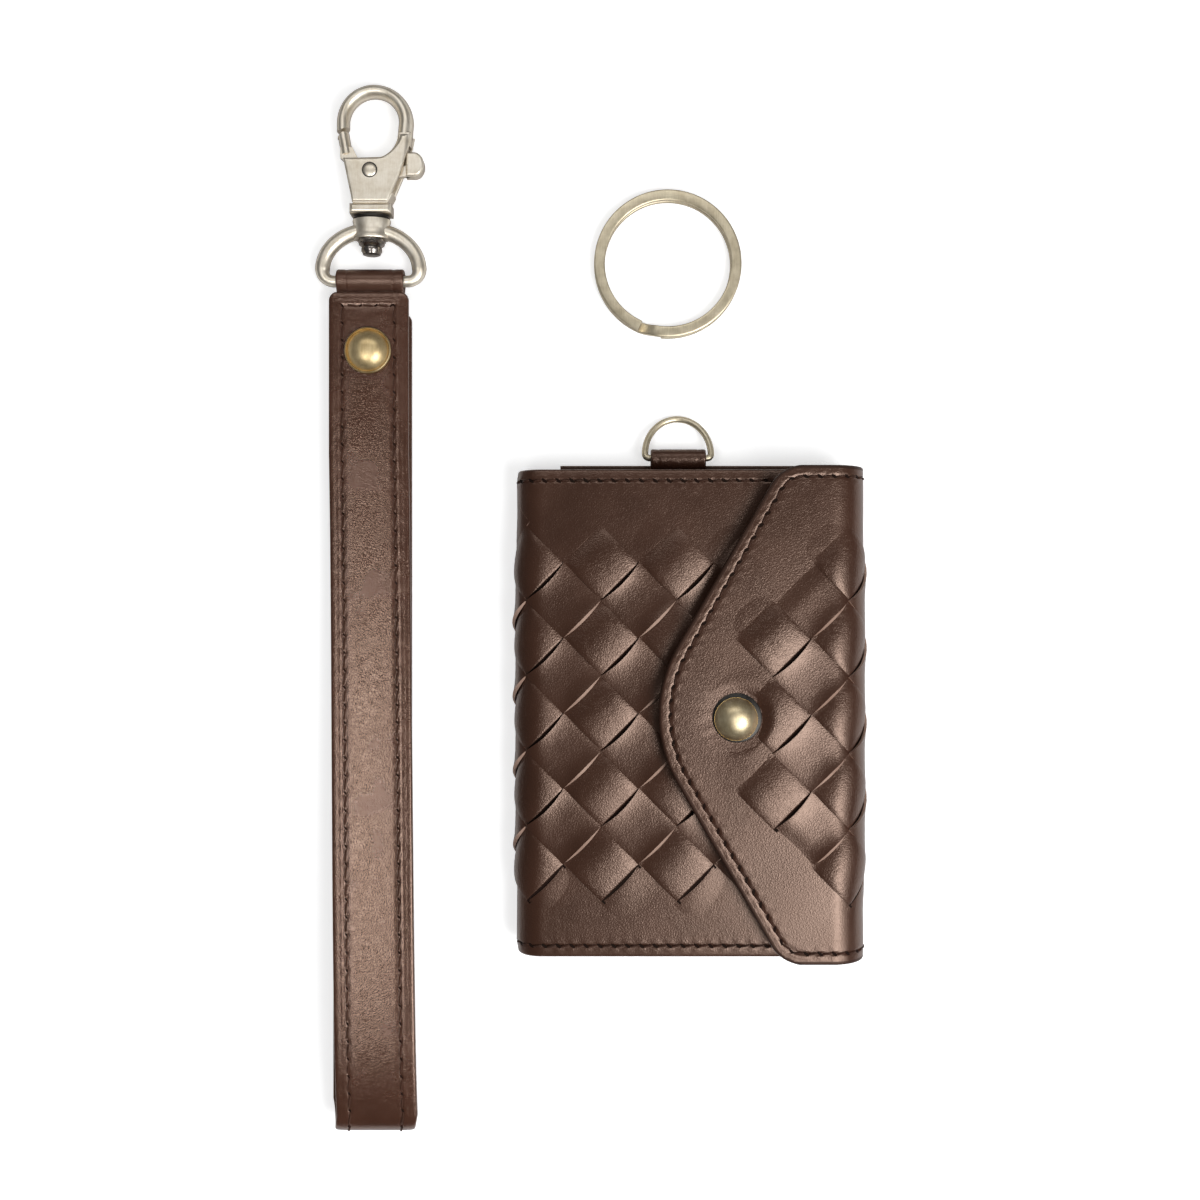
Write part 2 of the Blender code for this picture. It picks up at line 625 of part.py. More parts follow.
def make_wallet_ring():
    low = RING_BAR_Z - TAB_LOOP
    close = RING_BAR_Z - TAB_LOOP + TAB_THICK + GAP
    turn = arc((RING_BAR_Y, RING_BAR_Z), TAB_LOOP, math.radians(-90), math.radians(90))
    root = TOP - TAB_ROOT_INSET
    back_in = blend_points(turn[-1], (TOP - TAB_THICK, close), BLEND_STEPS)
    path = [(root, low)] + turn + back_in[1:] + [(root, close)]
    half = TAB_WIDTH / 2
    rows = [((TAB_X - half, y, z), (TAB_X + half, y, z)) for y, z in path]
    ribbon("ring_tab", rows, TAB_THICK, BROWN)
    flat = d_path(RING_HALF_WIDTH, RING_CORNER, RING_RISE)
    tilt = Matrix.Rotation(-RING_DROOP, 4, "X")
    points = [tilt @ Vector((x, y, 0)) for x, y in flat]
    ring = tube("wallet_d_ring", points, [RING_WIRE_RADIUS] * len(points), PALE_BRASS, closed=True)
    ring.location = (TAB_X, RING_BAR_Y, RING_BAR_Z)


# Split key ring

def make_key_ring():
    """A flat wire in two turns: one level turn, a short ramp, and one level turn on top."""
    first = KEY_RING_END_ANGLE + KEY_RING_RAMP + KEY_RING_START_PLAY
    ramp = KEY_RING_END_ANGLE + math.radians(360)
    last = KEY_RING_END_ANGLE + math.radians(720)
    low = KEY_RING_WIRE_HEIGHT / 2
    rise = KEY_RING_WIRE_HEIGHT + KEY_RING_TURN_GAP
    middle = KEY_RING_OUTER_RADIUS - KEY_RING_BAND / 2
    steps = round((last - first) / KEY_RING_STEP)
    half_band = KEY_RING_BAND / 2
    half_wire = KEY_RING_WIRE_HEIGHT / 2
    sides = ((-half_band, -half_wire), (half_band, -half_wire), (half_band, half_wire),
             (-half_band, half_wire))
    builder = bmesh.new()
    sections = []
    for step in range(steps + 1):
        turn = first + (last - first) * step / steps
        share = min(max((turn - ramp) / KEY_RING_RAMP, 0), 1)
        level = low + rise * ease(share)
        section = []
        for out, up in sides:
            reach = middle + out
            section.append(builder.verts.new((reach * math.cos(turn), reach * math.sin(turn), level + up)))
        sections.append(section)
    for one, two in zip(sections, sections[1:]):
        for side in range(4):
            after = (side + 1) % 4
            builder.faces.new((one[side], one[after], two[after], two[side]))
    builder.faces.new(sections[0])
    builder.faces.new(sections[-1])
    ring = finish("split_ring", mesh_from(builder, "split_ring"), BRASS)
    ring.location = (KEY_RING_X, KEY_RING_Y, 0)
    print("split ring: least gap between its turns %.2f mm" % (1000 * KEY_RING_TURN_GAP))


# Wrist strap, keeper and rivet

def strap_path():
    """(y, z, sideways) down the lower run, round the loop and up the upper run."""
    low_z = STRAP_THICK / 2
    bend = (STRAP_LOOP_Z - low_z) / 2
    bend_y = STRAP_BOTTOM_Y + STRAP_THICK / 2 + bend
    lower = [(STRAP_LOWER_END_Y, low_z, 0)]
    curl = arc((bend_y, low_z + bend), bend, math.radians(270), math.radians(90))
    loop = [(y, z, STRAP_SKEW * step / ARC_STEPS) for step, (y, z) in enumerate(curl)]
    upper = []
    for step in range(1, STRAP_RUN_STEPS + 1):
        share = step / STRAP_RUN_STEPS
        y = bend_y + (STRAP_SETTLE_Y - bend_y) * share
        z = STRAP_LOOP_Z + (STRAP_UPPER_Z - STRAP_LOOP_Z) * ease(share)
        upper.append((y, z, STRAP_SKEW * (1 - share)))
    return lower + loop + upper + [(STRAP_UPPER_END_Y, STRAP_UPPER_Z, 0)]


def make_strap():
    half = STRAP_WIDTH / 2
    rows = [((STRAP_X + side - half, y, z), (STRAP_X + side + half, y, z)) for y, z, side in strap_path()]
    band = ribbon("strap_band", rows, STRAP_THICK, BROWN)
    punch(band, "rivet_hole_band", STRAP_X, RIVET_Y, RIVET_SHANK_RADIUS + GAP)
    recess = RIVET_BACK_RECESS + RIVET_BACK_THICK + GAP
    cut(band, rod("rivet_recess", STRAP_X, RIVET_Y, -OVERRUN, recess, RIVET_BACK_RADIUS + GAP, None, helpers))
    turn = arc((LOOP_BAR_Y, CLASP_Z), KEEPER_LOOP, math.radians(-90), math.radians(90))
    close_y = LOOP_BAR_Y - KEEPER_CLOSE
    low_tail = blend_points((close_y, KEEPER_LOW_Z), turn[0], BLEND_STEPS)
    high_tail = blend_points(turn[-1], (close_y, KEEPER_HIGH_Z), BLEND_STEPS)
    path = [(KEEPER_TAIL_Y, KEEPER_LOW_Z)] + low_tail + turn[1:-1] + high_tail
    path.append((KEEPER_TAIL_Y, KEEPER_HIGH_Z))
    half = KEEPER_WIDTH / 2
    rows = [((STRAP_X - half, y, z), (STRAP_X + half, y, z)) for y, z in path]
    keeper = ribbon("keeper_tab", rows, KEEPER_THICK, BROWN)
    punch(keeper, "rivet_hole_keeper", STRAP_X, RIVET_Y, RIVET_SHANK_RADIUS + GAP)
    back_high = RIVET_BACK_RECESS + RIVET_BACK_THICK
    base = STRAP_UPPER_Z + STRAP_THICK / 2 + GAP
    cap = turned("rivet_cap", dome(RIVET_CAP_RADIUS, RIVET_CAP_HEIGHT, base, RIVET_SHANK_RADIUS,
                                   back_high + GAP), BRASS)
    moved(cap, STRAP_X, RIVET_Y)
    rod("rivet_back", STRAP_X, RIVET_Y, RIVET_BACK_RECESS, back_high, RIVET_BACK_RADIUS, BRASS)


# Swivel clasp

def make_loop():
    """The D loop with the collar that the hook's post turns in."""
    flat = d_path(LOOP_HALF_WIDTH, LOOP_CORNER, LOOP_TOP_Y - LOOP_BAR_Y)
    radii = [LOOP_BAR_RADIUS if y < LOOP_CORNER / 2 else LOOP_WIRE_RADIUS for x, y in flat]
    points = [(STRAP_X + x, LOOP_BAR_Y + y, CLASP_Z) for x, y in flat]
    loop = tube("clasp_loop", points, radii, PALE_BRASS, closed=True, sides=3)
    collar = lying_rod("collar", (PIN_X, CLASP_Z), COLLAR_LOW_Y, COLLAR_HIGH_Y, COLLAR_HALF_WIDTH,
                       COLLAR_HALF_DEPTH)
    cut(loop, collar, "UNION")
    bore = POST_RADIUS + GAP
    cut(loop, lying_rod("collar_bore", (PIN_X, CLASP_Z), COLLAR_LOW_Y - OVERRUN - POST_HEAD_LENGTH,
                        COLLAR_HIGH_Y + OVERRUN, bore, bore, sides=HOLE_SIDES))


def make_post():
    """The post: its end and head show inside the D loop, and its shank sits in the hook."""
    end_y = COLLAR_LOW_Y - GAP - POST_HEAD_LENGTH - POST_END_LENGTH
    head_y = end_y + POST_END_LENGTH
    shank_y = head_y + POST_HEAD_LENGTH
    top_y = COLLAR_HIGH_Y + GAP + POST_SINK
    profile = [(0, top_y), (POST_RADIUS, top_y), (POST_RADIUS, shank_y), (POST_HEAD_RADIUS, shank_y),
               (POST_HEAD_RADIUS, head_y), (POST_END_RADIUS, head_y), (POST_END_RADIUS, end_y), (0, end_y)]
    post = turned("swivel_post", profile, STEEL, HOLE_SIDES)
    post.rotation_euler = (math.radians(-90), 0, 0)
    post.location = (PIN_X, 0, CLASP_Z)


def hook_body_outline():
    """Plan of the flat body, about the pin."""
    rise = arc((HOOK_BODY_INNER_X, HOOK_SHOULDER_Y), 1, math.radians(270), math.radians(360), 5)
    wide = HOOK_SHOULDER_X - HOOK_BODY_INNER_X
    tall = HOOK_SHOULDER_Y - HOOK_BODY_HEAD
    inner = [(HOOK_BODY_INNER_X + (x - HOOK_BODY_INNER_X) * wide,
              HOOK_SHOULDER_Y + (y - HOOK_SHOULDER_Y) * tall) for x, y in rise]
    foot = HOOK_FLANGE_HALF_WIDTH
    neck = foot - HOOK_NECK_STEP
    base = COLLAR_HIGH_Y + GAP - PIN_Y
    outer = HOOK_SHOULDER_X + HOOK_SHOULDER_WIDTH
    right = [(outer, HOOK_SHOULDER_Y), (HOOK_WAIST_X, 0), (neck, -HOOK_BODY_FOOT), (foot, -HOOK_BODY_FOOT),
             (foot, base)]
    left = [(-foot, base), (-foot, -HOOK_BODY_FOOT), (-neck, -HOOK_BODY_FOOT)]
    return left + [(-HOOK_BODY_TOP_LEFT, HOOK_BODY_HEAD)] + inner + right


def from_pin(points):
    return [(PIN_X + x, PIN_Y + y) for x, y in points]


def split_cutter(name, inner, outer):
    """A sector of a ring about the pin, through the full depth of the hook."""
    outline = arc((0, 0), outer, SPLIT_FROM, SPLIT_TO) + arc((0, 0), inner, SPLIT_TO, SPLIT_FROM)
    return prism(name, from_pin(outline), HOOK_LOW_Z, HOOK_HIGH_Z, None, helpers)


def make_hook():
    body = prism("clasp_hook", from_pin(hook_body_outline()), HOOK_LOW_Z, HOOK_HIGH_Z, PALE_BRASS,
                 bevel=HOOK_BEVEL)
    reach = HOOK_SHOULDER_X + HOOK_SHOULDER_WIDTH + OVERRUN
    step_x = LEVER_HUB_RADIUS + GAP
    open_top = HOOK_BODY_HEAD + OVERRUN
    slot = [(-reach, -SLOT_FLOOR), (reach, -SLOT_FLOOR), (reach, SLOT_ROOF), (step_x, SLOT_ROOF),
            (step_x, open_top), (-reach, open_top)]
    cut(body, prism("lever_slot", from_pin(slot), SLOT_LOW_Z, SLOT_HIGH_Z, None, helpers))
    centre = (PIN_X + HOOK_ARCH_X, PIN_Y + HOOK_ARCH_Y)
    root = (PIN_X + HOOK_SHOULDER_X + HOOK_SHOULDER_WIDTH / 2, PIN_Y + HOOK_SHOULDER_Y - HOOK_BEVEL)
    turns = [math.radians(180) * step / HOOK_ARCH_STEPS for step in range(HOOK_ARCH_STEPS + 1)]
    arch = [(centre[0] + HOOK_SIDE_X * math.cos(turn), centre[1] + HOOK_ARCH_RISE * math.sin(turn))
            for turn in turns]
    path = [root] + arch + [(arch[-1][0], arch[-1][1] - HOOK_TIP_DROP)]
    points = [(x, y, CLASP_Z) for x, y in path]
    wire = tube("hook_arch", points, [HOOK_WIRE_RADIUS] * len(points), None, home=helpers, sides=3)
    tip_radius = SPLIT_RADIUS + SPLIT_PLAY
    cut(wire, split_cutter("tip_end", tip_radius - SPLIT_DEPTH, tip_radius))
    cut(body, wire, "UNION")
    cut(body, rod("pin_hole", PIN_X, PIN_Y, HOOK_LOW_Z - OVERRUN, HOOK_HIGH_Z + OVERRUN, PIN_RADIUS + GAP,
                  None, helpers, HOLE_SIDES))
    bore = POST_RADIUS + GAP
    cut(body, lying_rod("post_socket", (PIN_X, CLASP_Z), COLLAR_HIGH_Y - OVERRUN,
                        COLLAR_HIGH_Y + GAP + POST_SINK + GAP, bore, bore, sides=HOLE_SIDES))


def make_lever():
    """The lever: a hub on the pin, the gate that shuts the hook and the thumb pad."""
    hub = LEVER_HUB_RADIUS
    half = LEVER_ARM_HALF
    lever = rod("clasp_lever", PIN_X, PIN_Y, LEVER_LOW_Z, LEVER_HIGH_Z, hub, PALE_BRASS)
    arm_end = THUMB_IN + THUMB_BEVEL
    thumb_arm = [(0, THUMB_LOW), (arm_end, THUMB_LOW), (arm_end, half), (0, half)]
    cut(lever, prism("thumb_arm", from_pin(thumb_arm), LEVER_LOW_Z, LEVER_HIGH_Z, None, helpers), "UNION")
    gate_x = HOOK_ARCH_X - HOOK_SIDE_X
    gate_foot = HOOK_BODY_HEAD + GAP + GATE_RADIUS
    split_y = math.sqrt(SPLIT_RADIUS ** 2 - gate_x ** 2)
    slope = math.tan(GATE_LEAN)
    lean = gate_x + (split_y - gate_foot) * slope
    gate_over = 2 * GATE_RADIUS
    gate_end = (PIN_X + gate_x - gate_over * slope, PIN_Y + split_y + gate_over, CLASP_Z)
    arm = [(0, half), (0, -half), (lean - half, HOOK_BODY_HEAD), (lean - half, gate_foot + half),
           (lean + half, gate_foot + half), (lean + half, HOOK_BODY_HEAD)]
    cut(lever, prism("gate_arm", from_pin(arm), LEVER_LOW_Z, LEVER_HIGH_Z, None, helpers), "UNION")
    ends = [(PIN_X + lean, PIN_Y + gate_foot, CLASP_Z), gate_end]
    gate = tube("gate", ends, [GATE_RADIUS] * 2, None, home=helpers, sides=3)
    cut(gate, split_cutter("gate_end", SPLIT_RADIUS, SPLIT_RADIUS + SPLIT_DEPTH))
    cut(lever, gate, "UNION")
    low_z = CLASP_Z - THUMB_DEPTH / 2
    pad = box("thumb", (PIN_X + THUMB_IN, PIN_Y + THUMB_LOW, low_z),
              (PIN_X + THUMB_OUT, PIN_Y + THUMB_HIGH, low_z + THUMB_DEPTH), None, helpers, THUMB_BEVEL)
    cut(lever, pad, "UNION")
    cut(lever, rod("lever_bore", PIN_X, PIN_Y, HOOK_LOW_Z, HOOK_HIGH_Z, PIN_RADIUS + GAP, None, helpers,
                   HOLE_SIDES))
    rod("lever_pin", PIN_X, PIN_Y, HOOK_LOW_Z, HOOK_HIGH_Z, PIN_RADIUS, PALE_BRASS)


def make_spring():
    """A torsion spring round the pin, under the lever: one coil with a straight leg at each end."""
    low = SLOT_LOW_Z + GAP + SPRING_WIRE_RADIUS
    points = []
    for step in range(SPRING_STEPS + 1):
        share = step / SPRING_STEPS
        turn = math.radians(360) * share
        points.append((PIN_X + SPRING_COIL_RADIUS * math.cos(turn),
                       PIN_Y + SPRING_COIL_RADIUS * math.sin(turn), low + SPRING_RISE * share))
    start, end = points[0], points[-1]
    points.insert(0, (start[0], start[1] - SPRING_LEG, start[2]))
    points.append((end[0], end[1] + SPRING_LEG, end[2]))
    tube("lever_spring", points, [SPRING_WIRE_RADIUS] * len(points), STEEL, sides=1)
    least_gap = SPRING_RISE - 2 * SPRING_WIRE_RADIUS
    print("lever spring: least gap between its turns %.2f mm" % (1000 * least_gap))


# Pivots: an empty on each joint's axis carries the pieces that turn about it

def pivot(name, location, carried):
    empty = bpy.data.objects.new(name, None)
    empty.location = location
    parts.objects.link(empty)
    for piece_name in carried:
        bpy.data.objects[piece_name].parent = empty
        bpy.data.objects[piece_name].matrix_parent_inverse = Matrix.Translation(location).inverted()


def make_pivots():
    unroll_x = FOLD_X + UNROLL_SHARE_X * RIGHT_FOLD
    unroll_z = UNROLL_SHARE_Z * RIGHT_FOLD
    pivot("fold_axis", (unroll_x, 0, unroll_z), ["flap_fold"])
    pivot("flap_axis", (unroll_x, 0, FLAP_TOP - unroll_z), ["flap", "flap_lining", "snap_cap", "snap_socket"])
    pivot("loop_axis", (STRAP_X, LOOP_BAR_Y, CLASP_Z), ["clasp_loop"])
    pivot("hook_axis", (PIN_X, COLLAR_HIGH_Y, CLASP_Z),
          ["clasp_hook", "swivel_post", "lever_pin", "lever_spring"])
    pivot("lever_axis", (PIN_X, PIN_Y, CLASP_Z), ["clasp_lever"])


outer_shell = make_shell()
make_fold()
outer_flap = make_flap()
make_inside()
make_weave(outer_shell, outer_flap)
make_snap()
make_wallet_ring()
make_key_ring()
make_strap()
make_loop()
make_post()
make_hook()
make_lever()
make_spring()

for piece in parts.objects:
    piece.data.set_sharp_from_angle(angle=SHARP_EDGE)
    piece.data.update()

make_pivots()
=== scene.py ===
# %% [markdown]
# # A woven leather wallet with its key ring and wrist strap
# The wallet lies on its back on a white table, closed by an envelope flap and a snap. A loose
# split ring lies above it and a wrist strap with a swivel clasp to its left. The CAD part gives
# every place and every joint, in metres and with +Z up. This lesson gives each of its pieces a
# finer skin, from the leather to the clasp, and then sets the table and the lamps.

# %% Load the fixed frame
import math

import bmesh
import bpy
import numpy as np
from mathutils import Matrix, Vector


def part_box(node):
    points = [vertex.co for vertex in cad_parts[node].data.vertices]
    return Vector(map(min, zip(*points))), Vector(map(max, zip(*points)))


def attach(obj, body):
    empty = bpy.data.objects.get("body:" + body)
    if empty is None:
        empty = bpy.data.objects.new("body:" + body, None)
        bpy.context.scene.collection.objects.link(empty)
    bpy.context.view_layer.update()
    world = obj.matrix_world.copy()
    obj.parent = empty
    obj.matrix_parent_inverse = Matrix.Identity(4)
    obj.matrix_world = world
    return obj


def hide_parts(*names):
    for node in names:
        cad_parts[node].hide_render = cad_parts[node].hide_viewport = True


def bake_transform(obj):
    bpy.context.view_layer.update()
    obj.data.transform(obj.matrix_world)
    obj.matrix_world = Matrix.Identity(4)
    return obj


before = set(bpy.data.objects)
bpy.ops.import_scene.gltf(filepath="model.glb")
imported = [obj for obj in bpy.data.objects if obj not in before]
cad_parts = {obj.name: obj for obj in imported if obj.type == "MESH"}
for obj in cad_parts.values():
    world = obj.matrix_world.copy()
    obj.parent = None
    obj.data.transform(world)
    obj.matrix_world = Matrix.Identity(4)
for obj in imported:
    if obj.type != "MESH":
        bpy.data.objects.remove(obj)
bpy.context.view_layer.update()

MM = 0.001

# %% [markdown]
# ## Camera
# The photograph looks straight down from about 280 mm, so near things grow towards the edges of
# the picture. A long lens from far off would lose that. The focal length follows from the height
# and from the size of the key ring in the picture, which is 32 mm across.

# %% Camera
CAMERA_PLACE = (-19.0 * MM, 23.7 * MM, 280 * MM)
SENSOR = 36.0
FOCAL_SHARE = 1281 / 1200
camera_data = bpy.data.cameras.new("overhead_camera")
camera_data.sensor_width = SENSOR
camera_data.lens = SENSOR * FOCAL_SHARE
camera_data.clip_start = 10 * MM
camera = bpy.data.objects.new("overhead_camera", camera_data)
camera.location = CAMERA_PLACE
bpy.context.scene.collection.objects.link(camera)
bpy.context.scene.camera = camera
print("focal length: %.1f mm" % camera_data.lens)

# %% [markdown]
# ## Sheets from arrays
# Leather is a sheet with two faces and a cut edge all round. It could be a plane with a Solidify
# modifier, but then the inner face would repeat the form of the outer one. So a slab is made of
# two grids of points, which may differ, and of walls that join their rims.

# %% Grids and slabs


def grid_quads(rows, columns, wrap_rows=False, wrap_columns=False):
    """Quads between neighbours of a grid whose points are numbered row by row."""
    row = np.arange(rows if wrap_rows else rows - 1)
    column = np.arange(columns if wrap_columns else columns - 1)
    row, column = np.meshgrid(row, column, indexing="ij")
    below, beside = (row + 1) % rows, (column + 1) % columns
    corners = [row * columns + column, row * columns + beside, below * columns + beside,
               below * columns + column]
    return np.stack(corners, -1).reshape(-1, 4)


def slab(top, bottom):
    """A closed sheet: two grids of points, and walls that join their rims. Walls get finish 1."""
    rows, columns = top.shape[:2]
    count = rows * columns
    face = grid_quads(rows, columns)
    rim = np.concatenate([np.arange(columns), columns * np.arange(1, rows) + columns - 1,
                          (rows - 1) * columns + np.arange(columns - 2, -1, -1),
                          columns * np.arange(rows - 2, 0, -1)])
    after = np.roll(rim, -1)
    walls = np.stack([rim, after, after + count, rim + count], -1)
    quads = np.concatenate([face, face[:, ::-1] + count, walls])
    kinds = np.repeat([0, 1], [2 * len(face), len(walls)])
    return np.concatenate([top.reshape(-1, 3), bottom.reshape(-1, 3)]), quads, kinds


print("a grid of 3 by 4 points has", len(grid_quads(3, 4)), "quads")

# %% [markdown]
# ## Rods and turnings from arrays
# Rings, threads and the hook's arch are wires. A curve object with a bevel would do for them too,
# but a cut end that follows an arc would still need its own points. Caps, rivets and collars are
# turned on a lathe. Both are rings of points with a skin drawn through them.

# %% Rods and turnings
END_SWING = np.radians([75, 55, 35, 15])


def tunnel(rings, closed=False):
    """A skin through rings of points. Open ends are closed by a last ring shrunk to its middle."""
    if not closed:
        first = np.repeat(rings[:1].mean(1, keepdims=True), rings.shape[1], 1)
        last = np.repeat(rings[-1:].mean(1, keepdims=True), rings.shape[1], 1)
        rings = np.concatenate([first, rings, last])
    quads = grid_quads(*rings.shape[:2], wrap_rows=closed, wrap_columns=True)
    return rings.reshape(-1, 3), quads, np.zeros(len(quads), int)


def full_turn(count):
    """Angles once round, without the last one that would repeat the first."""
    return np.linspace(0, 2 * np.pi, count, endpoint=False)


def rod(path, radius, normal, sides=24, closed=False, flat=1.0, round_ends=True):
    """A rod along a flat path: each ring is centre + radius (cos a * side + flat sin a * normal).

    side is the tangent crossed with the path's plane normal, and the ends shrink as half balls.
    """
    path = np.asarray(path, float)
    radius = np.broadcast_to(np.asarray(radius, float), len(path)).copy()
    if closed:
        tangent = np.roll(path, -1, 0) - np.roll(path, 1, 0)
    else:
        tangent = np.gradient(path, axis=0)
    tangent /= np.linalg.norm(tangent, axis=1, keepdims=True)
    if round_ends and not closed:
        caps = len(END_SWING)
        head = path[0] - tangent[0] * radius[0] * np.sin(END_SWING)[:, None]
        tail = path[-1] + tangent[-1] * radius[-1] * np.sin(END_SWING[::-1])[:, None]
        path = np.concatenate([head, path, tail])
        tangent = np.concatenate([np.repeat(tangent[:1], caps, 0), tangent,
                                  np.repeat(tangent[-1:], caps, 0)])
        radius = np.concatenate([radius[0] * np.cos(END_SWING), radius,
                                 radius[-1] * np.cos(END_SWING[::-1])])
    side = np.cross(tangent, normal)
    side /= np.linalg.norm(side, axis=1, keepdims=True)
    turn = full_turn(sides)[None, :, None]
    ring = np.cos(turn) * side[:, None] + flat * np.sin(turn) * np.array(normal)
    return tunnel(path[:, None] + radius[:, None, None] * ring, closed)


def turning(profile, sides=64, place=Matrix.Identity(4), oval=1.0, closed=False):
    """A profile of (radius, height) spun about Z, then put in place by a matrix.

    closed joins the profile's two ends, as for a collar with a bore.
    """
    radius, height = np.asarray(profile, float).T
    turn = full_turn(sides)
    points = np.stack([np.outer(np.cos(turn), radius), oval * np.outer(np.sin(turn), radius),
                       np.broadcast_to(height, (sides, len(height)))], -1)
    quads = grid_quads(*points.shape[:2], wrap_rows=True, wrap_columns=closed)
    matrix = np.array(place)
    points = points.reshape(-1, 3) @ matrix[:3, :3].T + matrix[:3, 3]
    return points, quads, np.zeros(len(quads), int)


straight = np.linspace((0, 0, 0), (1, 0, 0), 5)
print("a rod along 5 points has", len(rod(straight, 0.1, (0, 0, 1))[1]), "quads")

# %% [markdown]
# ## From arrays to an object
# Each piece could be set up by hand in the viewport, but 29 of them would soon differ. So one
# function joins the shapes, welds the poles, turns the faces outwards, shades them smooth and
# hands the piece to the frame: which body it rides on, which CAD solids it stands for and which
# finishes it shows.

# %% Make a piece
WELD = 0.0005 * MM
SLIVER = 0.0002 * MM


def join_shapes(shapes):
    """Put shapes of points, quads and finish numbers one after another."""
    starts = np.cumsum([0] + [len(shape[0]) for shape in shapes[:-1]])
    points = np.concatenate([shape[0] for shape in shapes])
    quads = np.concatenate([shape[1] + start for shape, start in zip(shapes, starts)])
    kinds = np.concatenate([shape[2] for shape in shapes])
    return points, quads, kinds


def second_finish(shape):
    """The same shape with every face moved on to the piece's next material."""
    points, quads, kinds = shape
    return points, quads, kinds + 1


def array_mesh(name, points, quads, kinds):
    """A mesh from arrays; kinds holds each face's place in the list of materials."""
    mesh = bpy.data.meshes.new(name)
    mesh.from_pydata(points.tolist(), [], quads.tolist())
    mesh.polygons.foreach_set("material_index", kinds.astype(np.int32))
    return mesh


def dress(name, mesh, looks, body, replaces=(), weld=True, sharp=40):
    """Weld, turn the faces outwards, shade smooth, and give the mesh to the frame.

    body is a body's name, or the four values of a blend between two bodies.
    """
    builder = bmesh.new()
    builder.from_mesh(mesh)
    if weld:
        bmesh.ops.remove_doubles(builder, verts=builder.verts, dist=WELD)
        bmesh.ops.dissolve_degenerate(builder, edges=builder.edges, dist=SLIVER)
    bmesh.ops.recalc_face_normals(builder, faces=builder.faces)
    for face in builder.faces:
        face.smooth = True
    builder.to_mesh(mesh)
    builder.free()
    mesh.set_sharp_from_angle(angle=math.radians(sharp))
    for look in looks:
        mesh.materials.append(look)
    piece = bpy.data.objects.new(name, mesh)
    bpy.context.scene.collection.objects.link(piece)
    if isinstance(body, str):
        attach(piece, body)
    else:
        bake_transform(piece)
    if replaces:
        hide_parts(*replaces)
    print("%s: %d faces" % (name, len(mesh.polygons)))
    return piece


def make_piece(name, shapes, looks, body, replaces=(), weld=True, sharp=40):
    """A smooth-shaded mesh that rides on a body; looks are its materials in finish order."""
    mesh = array_mesh(name, *join_shapes(shapes))
    return dress(name, mesh, looks, body, replaces, weld, sharp)


print("points closer than %.4f mm are welded" % (WELD / MM))

# %% [markdown]
# ## Helpers for shader nodes
# A finish is a net of nodes. Written out one by one, with a line for each link, it soon hides
# what it does. Four small helpers keep the finishes below short: a new group, a node with its
# values, a sum or product, and a colour ramp.

# %% Node helpers
FLOAT, VECTOR = "NodeSocketFloat", "NodeSocketVector"


def group_tree(name, inputs, outputs):
    """A new node group with named sockets; returns its tree and its input and output nodes."""
    tree = bpy.data.node_groups.new(name, "ShaderNodeTree")
    for label, kind, value in inputs:
        socket = tree.interface.new_socket(name=label, in_out="INPUT", socket_type=kind)
        if value is not None:
            socket.default_value = value
    for label, kind in outputs:
        tree.interface.new_socket(name=label, in_out="OUTPUT", socket_type=kind)
    return tree, tree.nodes.new("NodeGroupInput"), tree.nodes.new("NodeGroupOutput")


def node(tree, kind, **values):
    """Add a node; values name its properties, or its input sockets when it has no such property."""
    made = tree.nodes.new(kind)
    for label, value in values.items():
        if hasattr(made, label):
            setattr(made, label, value)
        else:
            made.inputs[label.replace("_", " ")].default_value = value
    return made


def maths(tree, operation, first, second=None):
    """A Math node whose inputs are sockets or numbers; returns its output."""
    made = node(tree, "ShaderNodeMath", operation=operation)
    for place, value in enumerate((first, second)):
        if isinstance(value, bpy.types.NodeSocket):
            tree.links.new(value, made.inputs[place])
        elif value is not None:
            made.inputs[place].default_value = value
    return made.outputs[0]


def mixed_sum(tree, first, second, share):
    """share of the second value and the rest of the first."""
    return maths(tree, "ADD", maths(tree, "MULTIPLY", first, 1 - share),
                 maths(tree, "MULTIPLY", second, share))


def ramp(tree, value, stops):
    """A colour ramp with (place, colour) stops."""
    made = node(tree, "ShaderNodeValToRGB")
    elements = made.color_ramp.elements
    while len(elements) < len(stops):
        elements.new(0.5)
    for element, (place, colour) in zip(elements, stops):
        element.position = place
        element.color = (*colour, 1)
    tree.links.new(value, made.inputs["Fac"])
    return made.outputs["Color"]


print("sockets of the groups:", FLOAT, "and", VECTOR)

# %% [markdown]
# ## Leather grain
# Smooth leather shows fine pores, soft creases that run one way, and dye that sank in unevenly. A
# photo texture would show all that but repeats and needs a file. Voronoi cells give the pores,
# and a noise squeezed along one direction gives the creases. They form one group, which puts out
# a height and a slow tone, so every leather below can use it with its own values.

# %% Leather grain group
CREASE_TURN = math.radians(-48)


